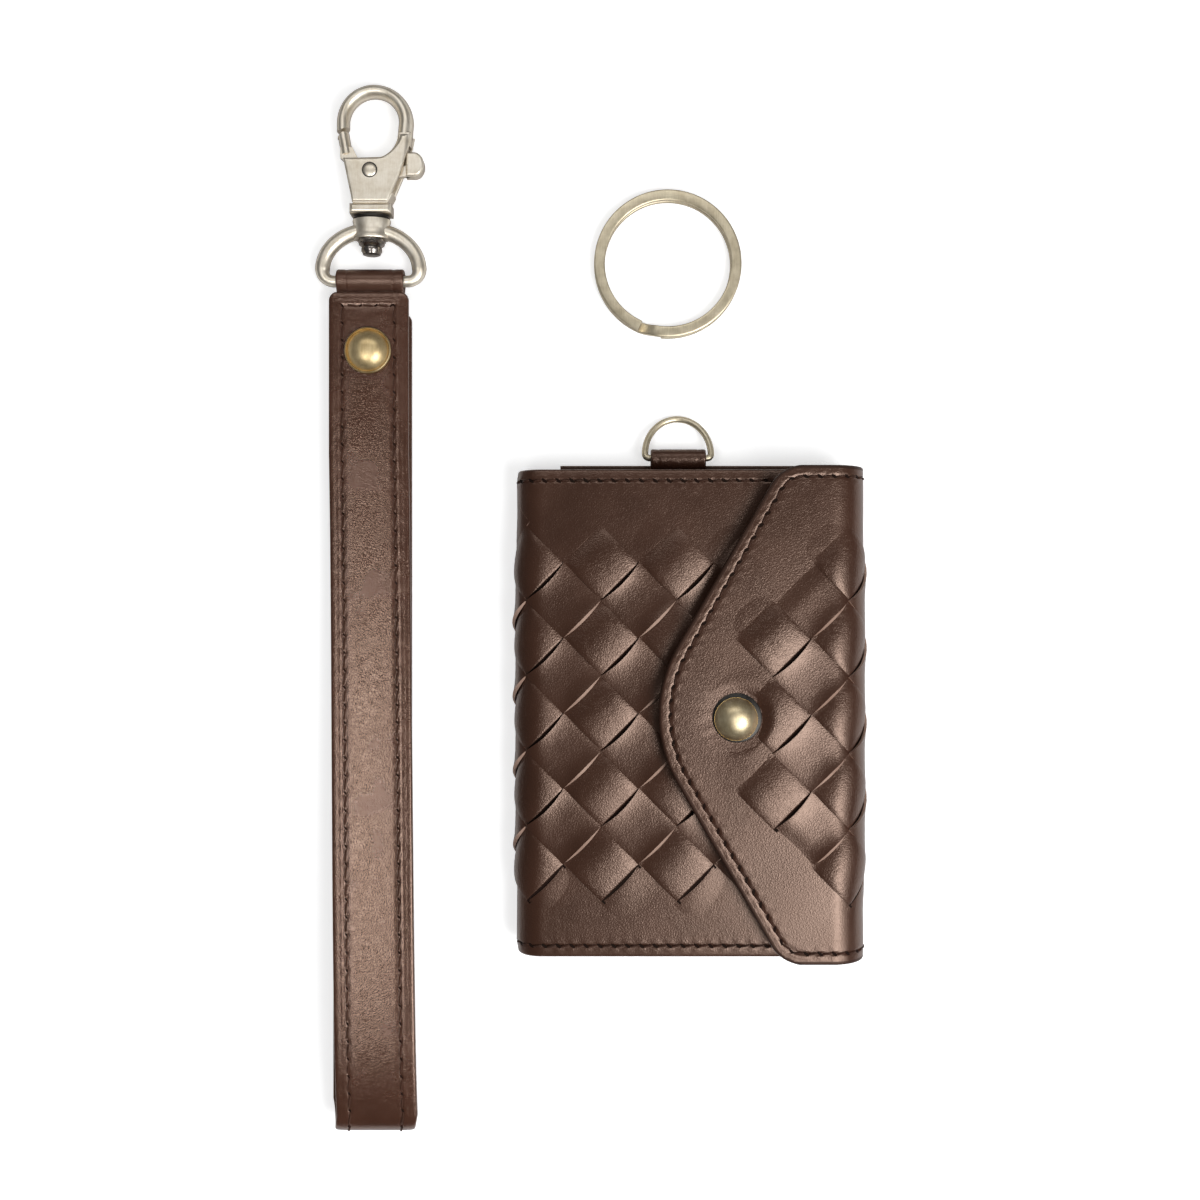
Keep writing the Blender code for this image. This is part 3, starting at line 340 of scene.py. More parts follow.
def make_grain():
    """Pores are cell distances cut off at 1, creases are folds of a noise about its middle value."""
    tree, start, end = group_tree("leather_grain",
                                  [("Vector", VECTOR, None), ("Pores", FLOAT, 1.0),
                                   ("Creases", FLOAT, 0.3)],
                                  [("Height", FLOAT), ("Tone", FLOAT)])
    links = tree.links
    warp = node(tree, "ShaderNodeTexNoise", Scale=500.0, Detail=2.0)
    links.new(start.outputs["Vector"], warp.inputs["Vector"])
    bend = node(tree, "ShaderNodeMix", data_type="VECTOR")
    bend.inputs["Factor"].default_value = 0.0012
    links.new(start.outputs["Vector"], bend.inputs[4])
    links.new(warp.outputs["Color"], bend.inputs[5])
    pores = node(tree, "ShaderNodeTexVoronoi", feature="DISTANCE_TO_EDGE", Scale=1900.0)
    links.new(bend.outputs[1], pores.inputs["Vector"])
    fine = node(tree, "ShaderNodeTexNoise", Scale=2600.0, Detail=3.0)
    links.new(start.outputs["Vector"], fine.inputs["Vector"])
    squeeze = node(tree, "ShaderNodeMapping")
    squeeze.inputs["Rotation"].default_value = (0, 0, CREASE_TURN)
    squeeze.inputs["Scale"].default_value = (0.45, 1.6, 1)
    links.new(bend.outputs[1], squeeze.inputs["Vector"])
    crease = node(tree, "ShaderNodeTexNoise", Scale=1300.0, Detail=3.0, Roughness=0.6,
                  Distortion=0.5)
    links.new(squeeze.outputs["Vector"], crease.inputs["Vector"])
    fold = maths(tree, "ABSOLUTE", maths(tree, "SUBTRACT", crease.outputs["Fac"], 0.5))
    fold = maths(tree, "MINIMUM", maths(tree, "MULTIPLY", fold, 9.0), 1.0)
    pit = maths(tree, "MINIMUM", maths(tree, "MULTIPLY", pores.outputs["Distance"], 3.0), 1.0)
    height = maths(tree, "ADD", pit, fine.outputs["Fac"])
    height = maths(tree, "MULTIPLY", height, start.outputs["Pores"])
    height = maths(tree, "ADD", height, maths(tree, "MULTIPLY", fold, start.outputs["Creases"]))
    links.new(height, end.inputs["Height"])
    slow = node(tree, "ShaderNodeTexNoise", Scale=95.0, Detail=2.0, Roughness=0.5)
    links.new(start.outputs["Vector"], slow.inputs["Vector"])
    links.new(mixed_sum(tree, slow.outputs["Fac"], fine.outputs["Fac"], 0.15), end.inputs["Tone"])
    return tree


GRAIN = make_grain()
print("leather_grain:", len(GRAIN.nodes), "nodes")

# %% [markdown]
# ## Metal wear
# Plated brass shows the fine lines of its brushing, and it dulls in patches where it is touched.
# The brushing is a fine noise drawn out along Y, and a slow noise picks the dull patches. The
# shader's anisotropy could stand for the brushing too, but it would need a direction on every
# piece, and a fine height does without.

# %% Metal wear group


def make_wear():
    """Brushing as noise stretched along Y, and dull patches from slow noise."""
    tree, start, end = group_tree("metal_wear", [("Vector", VECTOR, None), ("Brush", FLOAT, 1.0)],
                                  [("Height", FLOAT), ("Patches", FLOAT)])
    links = tree.links
    stretch = node(tree, "ShaderNodeMapping")
    stretch.inputs["Scale"].default_value = (1, 0.06, 1)
    links.new(start.outputs["Vector"], stretch.inputs["Vector"])
    brush = node(tree, "ShaderNodeTexNoise", Scale=5200.0, Detail=2.0)
    links.new(stretch.outputs["Vector"], brush.inputs["Vector"])
    links.new(maths(tree, "MULTIPLY", brush.outputs["Fac"], start.outputs["Brush"]),
              end.inputs["Height"])
    slow = node(tree, "ShaderNodeTexNoise", Scale=330.0, Detail=6.0, Roughness=0.65)
    links.new(start.outputs["Vector"], slow.inputs["Vector"])
    links.new(mixed_sum(tree, slow.outputs["Fac"], brush.outputs["Fac"], 0.25),
              end.inputs["Patches"])
    return tree


WEAR = make_wear()
print("metal_wear:", len(WEAR.nodes), "nodes")

# %% [markdown]
# ## Starting a finish
# Leather and metal begin alike: a Principled shader, Object coordinates, a group with its own
# values, a roughness that varies and a bump. Copying one material and changing it would do, but
# a later change would then have to be made in each copy.

# %% Start a finish


def start_material(name):
    """A new material with its tree, its Principled shader and its Object coordinates."""
    made = bpy.data.materials.new(name)
    made.use_nodes = True
    tree = made.node_tree
    shader = tree.nodes["Principled BSDF"]
    place = node(tree, "ShaderNodeTexCoord").outputs["Object"]
    return made, tree, shader, place


def add_effect(tree, effect, place, **values):
    """Place a shared group in a material, with this material's own values."""
    made = node(tree, "ShaderNodeGroup", node_tree=effect)
    for label, value in values.items():
        made.inputs[label].default_value = value
    tree.links.new(place, made.inputs["Vector"])
    return made


def vary_roughness(tree, shader, value, reach, rough):
    """The shader's roughness goes from one end of rough to the other as value crosses reach."""
    spread = node(tree, "ShaderNodeMapRange")
    spread.inputs["From Min"].default_value, spread.inputs["From Max"].default_value = reach
    spread.inputs["To Min"].default_value, spread.inputs["To Max"].default_value = rough
    tree.links.new(value, spread.inputs["Value"])
    tree.links.new(spread.outputs["Result"], shader.inputs["Roughness"])


def add_bump(tree, shader, height, distance):
    """Bend the shader's normal by a height; distance is how deep a height of 1 is, in metres."""
    bump = node(tree, "ShaderNodeBump", Strength=1.0, Distance=distance)
    tree.links.new(height, bump.inputs["Height"])
    tree.links.new(bump.outputs["Normal"], shader.inputs["Normal"])


print("shared effects:", GRAIN.name, "and", WEAR.name)

# %% [markdown]
# ## Leather finishes
# The wallet is a dark chocolate leather with a soft shine, and in the photograph that shine is
# brown, not white. A second coat layer would give a white one, so the shine comes from the base
# alone: its IOR, its roughness and a warm specular tint. In the bump a height of 1 is between
# 0.015 and 0.05 mm deep. Cut edges are painted or left raw, and threads and needle holes use the
# same recipe with other values.

# %% Leathers
COAT_IOR = 1.6
WARM_TINT = (1.0, 0.72, 0.58, 1)
TONE_STOPS = (0.36, 0.64)
TONE_REACH = (0.35, 0.65)


def leather(name, dark, light, pores, creases, depth, rough=(0.285, 0.325), sheen=0.0, gloss=0.85):
    """Dyed leather: the tone picks between two browns, and pores and creases bend the light."""
    made, tree, shader, place = start_material(name)
    grain = add_effect(tree, GRAIN, place, Pores=pores, Creases=creases)
    tone = grain.outputs["Tone"]
    dye = ramp(tree, tone, list(zip(TONE_STOPS, (dark, light))))
    tree.links.new(dye, shader.inputs["Base Color"])
    vary_roughness(tree, shader, tone, TONE_REACH, rough)
    shader.inputs["IOR"].default_value = COAT_IOR
    shader.inputs["Specular IOR Level"].default_value = gloss
    shader.inputs["Specular Tint"].default_value = WARM_TINT
    shader.inputs["Sheen Weight"].default_value = sheen
    add_bump(tree, shader, grain.outputs["Height"], depth)
    return made


BROWN = {"dark": (0.040, 0.0140, 0.0072), "light": (0.051, 0.0188, 0.0102)}
SMOOTH_LEATHER = leather("chocolate_leather", **BROWN, pores=0.9, creases=0.22, depth=0.016 * MM)
STRIP_LEATHER = leather("creased_strip_leather", **BROWN, pores=0.9, creases=0.5,
                        depth=0.019 * MM)
STRAP_LEATHER = leather("strap_leather", dark=(0.040, 0.0140, 0.0074),
                        light=(0.052, 0.0188, 0.0106), pores=0.9, creases=0.45,
                        depth=0.015 * MM, rough=(0.19, 0.25), gloss=0.85)
LINING = leather("matt_lining_leather", dark=(0.055, 0.027, 0.019), light=(0.075, 0.038, 0.028),
                 pores=1.0, creases=0.2, depth=0.05 * MM, rough=(0.6, 0.8), sheen=0.2, gloss=0.4)
print("the wallet's leather:", SMOOTH_LEATHER.name)

# %% Edges, thread and needle holes
PAINTED_EDGE = leather("painted_edge", dark=(0.026, 0.011, 0.007), light=(0.036, 0.015, 0.010),
                       pores=0.3, creases=0.2, depth=0.02 * MM, rough=(0.42, 0.52), gloss=0.35)
RAW_EDGE = leather("raw_cut_edge", dark=(0.330, 0.205, 0.155), light=(0.560, 0.390, 0.310),
                   pores=0.4, creases=0.4, depth=0.04 * MM, rough=(0.5, 0.7), gloss=0.4)
THREAD = leather("brown_thread", dark=(0.026, 0.010, 0.006), light=(0.055, 0.022, 0.014),
                 pores=0.8, creases=0.3, depth=0.04 * MM, rough=(0.55, 0.7), gloss=0.3)
# Painted shade: a near-black colour for the needle holes and for the strap where it lies inside a slit.
HOLE_AND_SLIT_SHADE = leather("painted_hole_and_slit_shade", dark=(0.006, 0.003, 0.002), light=(0.012, 0.005, 0.004),
                      pores=0.3, creases=0.2, depth=0.03 * MM, rough=(0.8, 0.95), gloss=0.2)
print("materials so far, with the CAD's own:", len(bpy.data.materials))

# %% [markdown]
# ## Metal finishes
# The rivet, the snap, the rings and the clasp are brass of four shades, from the yellow rivet to
# the nearly silver clasp. The snap's inside, the post and the spring are steel. One shared brass
# would be simpler, but the shades differ clearly in the photograph. Where a round side turns
# away from the eye, Layer Weight fades the colour to a dark brown, a painted shade that draws
# each rim as a dark line.

# %% Metals
# Painted shade: the dark brown that Layer Weight mixes in where a side turns away from the eye.
RIM_SHADE_COLOUR = (0.16, 0.11, 0.075)
PLATING_STOPS = (0.34, 0.6)
WEAR_REACH = (0.3, 0.7)
RIM_SHADE_STOPS = [(0.45, (0, 0, 0)), (0.95, (1, 1, 1))]


def metal(name, dull, bright, rough, brush, depth):
    """Plated metal: patches pick between two tones, and a painted dark shade shows where a side turns away.
    """
    made, tree, shader, place = start_material(name)
    wear = add_effect(tree, WEAR, place, Brush=brush)
    patches = wear.outputs["Patches"]
    plating = ramp(tree, patches, list(zip(PLATING_STOPS, (dull, bright))))
    # Painted shade: the more a side turns away from the eye, the darker its colour.
    turned = node(tree, "ShaderNodeLayerWeight", Blend=0.5).outputs["Facing"]
    mixed = node(tree, "ShaderNodeMix", data_type="RGBA")
    tree.links.new(ramp(tree, turned, RIM_SHADE_STOPS), mixed.inputs["Factor"])
    tree.links.new(plating, mixed.inputs[6])
    mixed.inputs[7].default_value = (*RIM_SHADE_COLOUR, 1)
    tree.links.new(mixed.outputs[2], shader.inputs["Base Color"])
    vary_roughness(tree, shader, patches, WEAR_REACH, rough)
    shader.inputs["Metallic"].default_value = 1.0
    add_bump(tree, shader, wear.outputs["Height"], depth)
    return made


BRASS = metal("antique_brass", dull=(0.56, 0.41, 0.20), bright=(0.77, 0.61, 0.34),
              rough=(0.36, 0.48), brush=0.4, depth=0.01 * MM)
SNAP_BRASS = metal("light_brass", dull=(0.66, 0.52, 0.30), bright=(0.88, 0.75, 0.50),
                   rough=(0.38, 0.48), brush=0.4, depth=0.01 * MM)
RING_BRASS = metal("key_ring_brass", dull=(0.66, 0.56, 0.38), bright=(0.90, 0.80, 0.60),
                   rough=(0.36, 0.48), brush=0.8, depth=0.01 * MM)
PALE_BRASS = metal("brushed_pale_brass", dull=(0.74, 0.65, 0.51), bright=(0.93, 0.86, 0.74),
                   rough=(0.36, 0.48), brush=1.0, depth=0.014 * MM)
# Near-black metal: on the snap's ring and the pin's seat its colour is painted shade of a gap or recess; on
# the post's ring it is partly a dark washer and partly painted shade.
BLACKENED_AND_GAP_SHADE = metal("blackened_steel_and_gap_shade", dull=(0.03, 0.028, 0.027), bright=(0.07, 0.065, 0.06),
                  rough=(0.35, 0.5), brush=0.4, depth=0.01 * MM)
STEEL = metal("dark_steel", dull=(0.20, 0.18, 0.165), bright=(0.38, 0.35, 0.32),
              rough=(0.20, 0.34), brush=0.5, depth=0.01 * MM)
print("materials with the metals:", len(bpy.data.materials))

# %% [markdown]
# ## The wallet's leather, unrolled
# On the real wallet one long panel makes the back, the left fold and the cover, and goes on round
# the right side into the flap. It could be modelled in place, but a woven square would then have
# to be bent by hand at each fold. So the shapes are drawn flat first: s runs along the leather,
# y runs up the wallet and h is the height above the leather. A table of the cross-section then
# bends the flat drawing, and a square goes round a fold without being torn.

# %% Cross-section tables
LEFT, RIGHT, TOP = -36.7 * MM, 36.7 * MM, 51.1 * MM
BACK_Z, COVER_Z, FLAP_Z = 1.0 * MM, 11.9 * MM, 16.2 * MM
COVER_EDGE = 26.0 * MM
BACK_THICK, COVER_THICK, FLAP_THICK = 0.6 * MM, 1.4 * MM, 1.2 * MM
FLAP_TOP_EDGE = 51.6 * MM
SIDE_INSET = 0.1 * MM
FLAP_TABLE_END = -12 * MM
left_radius = (COVER_Z - BACK_Z) / 2
left_centre = LEFT + left_radius
right_radius = (FLAP_Z - BACK_Z) / 2
right_centre = RIGHT - SIDE_INSET - right_radius


def path_table(points, start):
    """Arc length, place and outward normal along a cross-section given as (x, z) points."""
    points = np.asarray(points)
    step = np.gradient(points, axis=0)
    step /= np.linalg.norm(step, axis=1, keepdims=True)
    gone = np.cumsum(np.linalg.norm(np.diff(points, axis=0), axis=1))
    length = start - np.concatenate([[0], gone])
    order = slice(None, None, -1)
    return {"s": length[order], "x": points[order, 0], "z": points[order, 1],
            "nx": step[order, 1], "nz": -step[order, 0]}


def arc(centre, radius, start, end, count=60):
    """Points (a, b) on a circle: centre + radius (cos, sin), between two angles in degrees."""
    turn = np.radians(np.linspace(start, end, count))
    return np.stack([centre[0] + radius * np.cos(turn), centre[1] + radius * np.sin(turn)], -1)


def level_run(start, end, height, count):
    """Points (a, b) on a level line; b is the height."""
    return np.stack([np.linspace(start, end, count), np.full(count, height)], -1)


def bend(table, s, y, h):
    """Bend a flat drawing: the table's point at s, plus h times its outward normal."""
    x = np.interp(s, table["s"], table["x"]) + h * np.interp(s, table["s"], table["nx"])
    z = np.interp(s, table["s"], table["z"]) + h * np.interp(s, table["s"], table["nz"])
    return np.stack([x, np.broadcast_to(y, x.shape), z], -1)


left_fold = (left_centre, (COVER_Z + BACK_Z) / 2)
right_fold = (right_centre, (FLAP_Z + BACK_Z) / 2)
shell_points = np.concatenate([level_run(COVER_EDGE, left_centre, COVER_Z, 40)[:-1],
                               arc(left_fold, left_radius, 90, 270),
                               level_run(left_centre, right_centre, BACK_Z, 40)[1:-1],
                               arc(right_fold, right_radius, -90, 0)])
SHELL = path_table(shell_points, COVER_EDGE)
flap_points = np.concatenate([arc(right_fold, right_radius, 0, 90),
                              level_run(right_centre, FLAP_TABLE_END, FLAP_Z, 60)[1:]])
FLAP = path_table(flap_points, right_centre + right_radius * np.pi / 2)
shell_seam, flap_seam = SHELL["s"][0], FLAP["s"][-1]
sheet_long = COVER_EDGE - shell_seam + flap_seam
print("leather from the cover's edge to the flap's middle line: %.1f mm" % (sheet_long / MM))

# %% [markdown]
# ## Rims and stitch channels
# The leather's rim is beaten round, and the tight thread sinks into a shallow channel and draws
# the leather into small waves between its holes. Sculpting would do for one panel. All of this
# depends only on the distance to the cut edge and on the place along it, so two functions of
# these serve every panel, and the grid is close only near the rims.

# %% Rim profile
RIM_ROLL = 0.45 * MM
STITCH_INSET = 2.4 * MM
STITCH_PITCH = 2.9 * MM
CHANNEL_DEPTH, CHANNEL_WIDTH = 0.16 * MM, 0.34 * MM
PUCKER, PUCKER_WIDTH, SWELL_SHIFT, SWELL_SHARE = 0.07 * MM, 0.30 * MM, 0.75 * MM, 0.6
RIM_STEPS = np.array([0, 0.03, 0.08, 0.16, 0.28, 0.45, 0.8, 1.3, 1.7, 1.95, 2.15, 2.3, 2.4, 2.5,
                      2.65, 2.85, 3.1, 3.5, 4.2]) * MM
HANDLING_DEPTH = 0.05 * MM


def bell(offset, width):
    """A bell curve: e to the power of minus the square of offset over width."""
    return np.exp(-(offset / width) ** 2)


def rim_height(distance, inset=STITCH_INSET, depth=CHANNEL_DEPTH, roll=RIM_ROLL, turned=0.0):
    """Minus a quarter circle at the edge, a bell-shaped channel at the stitch line and a slope.

    The slope is the turned edge: it falls by turned from the stitch line out to the rim.
    """
    near = np.clip(roll - distance, 0, roll)
    rolled = roll - np.sqrt(np.maximum(roll * roll - near * near, 0))
    channel = depth * bell(distance - inset, CHANNEL_WIDTH)
    slope = turned * np.clip(1 - distance / inset, 0, 1) ** 1.3
    return -rolled - channel - slope


def pucker(distance, along, step, inset=STITCH_INSET):
    """Leather drawn into the needle holes: one wave per stitch, which fades off the line."""
    wave = np.cos(2 * np.pi * along / step)
    pull = bell(distance - inset, PUCKER_WIDTH)
    swell = sum(bell(distance - inset + shift, CHANNEL_WIDTH) for shift in (-SWELL_SHIFT, SWELL_SHIFT))
    return PUCKER * wave * (SWELL_SHARE * swell - pull)


def line_length(line):
    """Length from a line's start to each of its points."""
    steps = np.linalg.norm(np.diff(line, axis=0), axis=1)
    return np.concatenate([[0], np.cumsum(steps)])


def line_step(line, pitch):
    """Length of a flat line and the whole stitch step that fits it best."""
    length = line_length(line)[-1]
    return length, length / max(int(round(length / pitch)), 1)


def spread(low_end, high_end, step):
    """Places from one edge to the other: close near both rims and about step apart between."""
    inner = np.linspace(low_end + RIM_STEPS[-1], high_end - RIM_STEPS[-1],
                        int((high_end - low_end) / step))
    return np.concatenate([low_end + RIM_STEPS[:-1], inner, (high_end - RIM_STEPS[:-1])[::-1]])


def soft_waves(s, y):
    """Slow dents of a few hundredths of a millimetre: sums of sines with unlike periods."""
    return HANDLING_DEPTH * (np.sin(s * 210 + 1.3 * np.sin(y * 90)) * np.sin(y * 160 + 0.7)
                             + 0.6 * np.sin(s * 95 - y * 120))


print("rim grid: %d rows in %.1f mm" % (len(RIM_STEPS), RIM_STEPS[-1] / MM))

# %% [markdown]
# ## The outer panel
# The back, the left fold and the cover are one grid from the seam in the right fold to the
# cover's free edge. Three panels with seams would be easier to place, but the photograph shows
# no seam at the left fold. The back is thinner than the cover, which is a guess. The part past
# the back turns with the strip of leather that carries the flap, so the panel blends between
# the wallet and that strip.

# %% Outer panel
SHELL_STEP, SHELL_ROW_STEP = 0.4 * MM, 2.4 * MM
SHELL_TURNED = 0.3 * MM
ROW_POINTS = 300
row_s = (shell_seam, COVER_EDGE - STITCH_INSET)
stitch_y = TOP - STITCH_INSET
SHELL_LINE = np.concatenate([level_run(*row_s, stitch_y, ROW_POINTS),
                             level_run(*row_s[::-1], -stitch_y, ROW_POINTS)])
SHELL_BLEND = ("wallet", "fold", (right_centre, 0, 0), (RIGHT, 0, 0))
FLAP_BLEND = ("fold", "flap", (RIGHT, 0, 0), (right_centre, 0, 0))


def make_shell():
    """Outer panel: the height is the rim profile of the distance to the nearest free edge."""
    y = spread(-TOP, TOP, SHELL_ROW_STEP)
    s = np.concatenate([np.arange(shell_seam, COVER_EDGE - RIM_STEPS[-1], SHELL_STEP),
                        (COVER_EDGE - RIM_STEPS)[::-1]])
    s, y = np.meshgrid(s, y, indexing="ij")
    distance = np.minimum(TOP - np.abs(y), COVER_EDGE - s)
    top = rim_height(distance, turned=SHELL_TURNED)
    top = top + np.where(distance > STITCH_INSET, soft_waves(s, y), 0)
    length, step = line_step(SHELL_LINE, STITCH_PITCH)
    run = s - shell_seam
    top = top + pucker(TOP - np.abs(y), np.where(y > 0, run, length - run), step)
    fold_length = left_radius * np.pi
    share = np.clip((s - left_centre + fold_length) / fold_length, 0, 1)
    thick = BACK_THICK + (COVER_THICK - BACK_THICK) * share
    shape = slab(bend(SHELL, s, y, top), bend(SHELL, s, y, -thick))
    return make_piece("outer_leather", [shape], [SMOOTH_LEATHER, PAINTED_EDGE],
                      SHELL_BLEND, ["outer_shell", "flap_fold"], weld=False)


make_shell()

# %% [markdown]
# ## The envelope flap's outline
# Its outline is a big round tip, two straight sides that lean by 30 degrees and two small round
# corners. It could be a curve object that is filled, but a fill has no rows to bend. For each
# height y the outline gives one left end, so the flap is still a plain grid.

# %% Flap outline
TIP_X, TIP_RADIUS, CORNER_RADIUS, LEAN = -6.9 * MM, 28 * MM, 8 * MM, math.radians(30)


def flap_edge(y, inset=0.0):
    """Left end of the flap at height y: tip arc, leaning side, corner arc, moved in by inset."""
    y = np.abs(y)
    tip, corner = TIP_RADIUS - inset, CORNER_RADIUS - inset
    centre = TIP_X + TIP_RADIUS
    tip_arc = centre - np.sqrt(np.maximum(tip * tip - y * y, 0))
    start_x, start_y = centre - tip * math.cos(LEAN), tip * math.sin(LEAN)
    side = start_x + (y - start_y) * math.tan(LEAN)
    corner_y = FLAP_TOP_EDGE - CORNER_RADIUS
    end_y = corner_y + corner * math.sin(LEAN)
    corner_x = start_x + (end_y - start_y) * math.tan(LEAN) + corner * math.cos(LEAN)
    corner_arc = corner_x - np.sqrt(np.maximum(corner * corner - (y - corner_y) ** 2, 0))
    return np.where(y < start_y, tip_arc, np.where(y < end_y, side, corner_arc))


def line_distance(line, x, y):
    """Least distance from points to an open line, taken over its short straight pieces."""
    start, step = line[:-1], np.diff(line, axis=0)
    points = np.stack([x.ravel(), y.ravel()], -1)
    share = np.einsum("pij,ij->pi", points[:, None] - start, step) / np.sum(step * step, 1)
    gap = points[:, None] - start - np.clip(share, 0, 1)[..., None] * step
    return np.sqrt(np.min(np.sum(gap * gap, -1), 1)).reshape(x.shape)


CURVE_POINTS = 500
flap_rows = np.linspace(-FLAP_TOP_EDGE + STITCH_INSET, FLAP_TOP_EDGE - STITCH_INSET, CURVE_POINTS)
flap_curve = np.stack([flap_edge(flap_rows, STITCH_INSET), flap_rows], -1)
flap_end = np.array([[flap_seam, flap_rows[0]]])
FLAP_LINE = np.concatenate([flap_end, flap_curve, flap_end * [1, -1]])
print("flap's stitch line: %.0f mm" % (line_length(FLAP_LINE)[-1] / MM))

# %% [markdown]
# ## The flap's panel
# The flap's rim is painted, with a fine crease where the paint ends, and the snap draws the
# leather down and throws small pleats round itself. Both could be sculpted, but a formula keeps
# them in place when a size changes. The panel is the same kind of slab as the shell's, and its
# rows run from the outline to the seam in the middle of the right fold.

# %% Flap panel
SNAP = np.array([9.0, -0.8]) * MM
FLAP_ROW_STEP, FLAP_COLUMNS, FLAP_ROLL = 0.36 * MM, 38, 0.55 * MM
EDGE_STRETCH = 1.12
PAINTED_BAND, PAINT_PLAY = 0.75 * MM, 0.06 * MM
CREASE_DEPTH, CREASE_WIDTH = 0.05 * MM, 0.09 * MM
DENT_DEPTH, DENT_RADIUS = 0.20 * MM, 6.4 * MM
PLEAT_DEPTH, PLEAT_RADIUS, PLEAT_WIDTH = 0.035 * MM, 6.3 * MM, 1.3 * MM
ROW_BAND = 1.5 * MM
FAR_PAST = 9 * MM
FLAP_WAVE_SHIFT = 0.1


def snap_dent(s, y):
    """A flat-bottomed dent round the snap, with small pleats that run outwards from it."""
    reach = np.hypot(s - SNAP[0], y - SNAP[1])
    turn = np.arctan2(y - SNAP[1], s - SNAP[0])
    pleats = np.sin(17 * turn + 2 * np.sin(3 * turn)) * bell(reach - PLEAT_RADIUS, PLEAT_WIDTH)
    return -DENT_DEPTH * np.exp(-(reach / DENT_RADIUS) ** 4) + PLEAT_DEPTH * pleats


def flap_run(s, y):
    """Length along the stitch line at its nearest point: by y on the curve, by s on the rows."""
    length, step = line_step(FLAP_LINE, STITCH_PITCH)
    first = flap_seam - flap_curve[0, 0]
    on_curve = np.interp(y, flap_rows, first + line_length(flap_curve))
    row = np.minimum(flap_seam - s, first)
    on_row = np.where(y < 0, row, length - row)
    by_row = (np.abs(y) > flap_rows[-1] - ROW_BAND) & (s > flap_curve[0, 0])
    return np.where(by_row, on_row, on_curve), step


def make_flap():
    """Flap panel: rows of points from the outline to the seam at the middle of the right fold."""
    y = spread(-FLAP_TOP_EDGE, FLAP_TOP_EDGE, FLAP_ROW_STEP)
    last = len(RIM_STEPS) - 1
    column = np.arange(len(RIM_STEPS) + FLAP_COLUMNS)
    along = np.concatenate([RIM_STEPS * EDGE_STRETCH, np.zeros(FLAP_COLUMNS)])
    edge = flap_edge(y)[:, None]
    inner_start = edge + along[last]
    inner = inner_start + (flap_seam - inner_start) * (column - last) / FLAP_COLUMNS
    s = np.where(column <= last, edge + along, inner)
    y = np.broadcast_to(y[:, None], s.shape)
    rows = np.linspace(-FLAP_TOP_EDGE, FLAP_TOP_EDGE, 400)
    far = np.array([[flap_seam + FAR_PAST, -FLAP_TOP_EDGE]])
    line = np.concatenate([far, np.stack([flap_edge(rows), rows], -1), far * [1, -1]])
    distance = line_distance(line, s, y)
    waves = np.where(distance > STITCH_INSET, soft_waves(s + FLAP_WAVE_SHIFT, y), 0)
    crease = CREASE_DEPTH * bell(distance - PAINTED_BAND, CREASE_WIDTH)
    run, step = flap_run(s, y)
    top = rim_height(distance, roll=FLAP_ROLL) + waves - crease + snap_dent(s, y)
    top = top + pucker(distance, run, step)
    under = np.full_like(s, -FLAP_THICK)
    points, quads, kinds = slab(bend(FLAP, s, y, top), bend(FLAP, s, y, under))
    reach = np.concatenate([distance.ravel(), np.full(s.size, 1.0)])
    kinds = np.where(reach[quads].max(1) < PAINTED_BAND + PAINT_PLAY, 1, kinds)
    make_piece("flap_leather", [(points, quads, kinds)], [SMOOTH_LEATHER, PAINTED_EDGE],
               FLAP_BLEND, ["flap"], weld=False)


make_flap()

# %% [markdown]
# ## The weave
# On the real wallet straps run down to the right through slits that are cut up to the right. In
# every other square the strap lies on top, as a pillow that dives at both slits. In the squares
# between, the panel lies on top and the straps below lift its two cut lips. A bump map would
# give neither the dark slits nor the ragged outline at the folds, and long woven straps would
# cut through the panel. So each square is its own little slab, whose height is a function of u
# along the strap and v along the slit.

# %% Sizes of the weave
PITCH = 15.76 * MM
HALF = PITCH / 2
HALF_SIDE = HALF / math.sqrt(2)
WEAVE_TOP = 39.4 * MM
FIRST_S = -18.8 * MM
STRIP_CROWN, STRIP_LOW_END, STRIP_HIGH_END = 0.92 * MM, 0.06 * MM, 0.40 * MM
STRIP_FALL, STRIP_SIDE_FALL, STRIP_LEAST = 0.10 * MM, 0.20 * MM, 0.07 * MM
BAND_LEVEL, LIP_RISE, PULLED_RISE = 0.38 * MM, 0.62 * MM, 0.42 * MM
BAND_THICK, CUT_SLANT, SUNK = 0.5 * MM, 0.60 * MM, 0.04 * MM
HIGH_PATCH_RISE, LOW_PATCH_RISE = 0.19 * MM, 0.32 * MM
SLIT_OPEN, PATCH_LONG = 0.13, 1.3
STRIP_BOTTOM = 0.1 * MM
SNAP_CLEAR, SNAP_FADE, SNAP_SUNK = 4.9 * MM, 7.4 * MM, 0.4 * MM
STRIP, BAND, HIGH_PATCH, LOW_PATCH = range(4)
ACROSS = np.sin(np.linspace(-1, 1, 15) * np.pi / 2)
quarter = np.linspace(0, 1, 20) * np.pi / 2
ALONG = {STRIP: np.concatenate([np.linspace(-1.08, 0.9, 15), [0.96, 1.0, 1.025, 1.05, 1.17]]),
         BAND: np.sin(np.linspace(-1, 1, 20) * np.pi / 2),
         HIGH_PATCH: 1 - PATCH_LONG * (1 - np.sin(quarter)),
         LOW_PATCH: -1 + PATCH_LONG * (1 - np.cos(quarter))}
print("a woven square's side: %.1f mm" % (2 * HALF_SIDE / MM))

# %% Heights of the squares


def smooth(value, start, end):
    """An S curve from 0 at start to 1 at end: three times the share squared less twice its cube."""
    share = np.clip((value - start) / (end - start), 0, 1)
    return share * share * (3 - 2 * share)


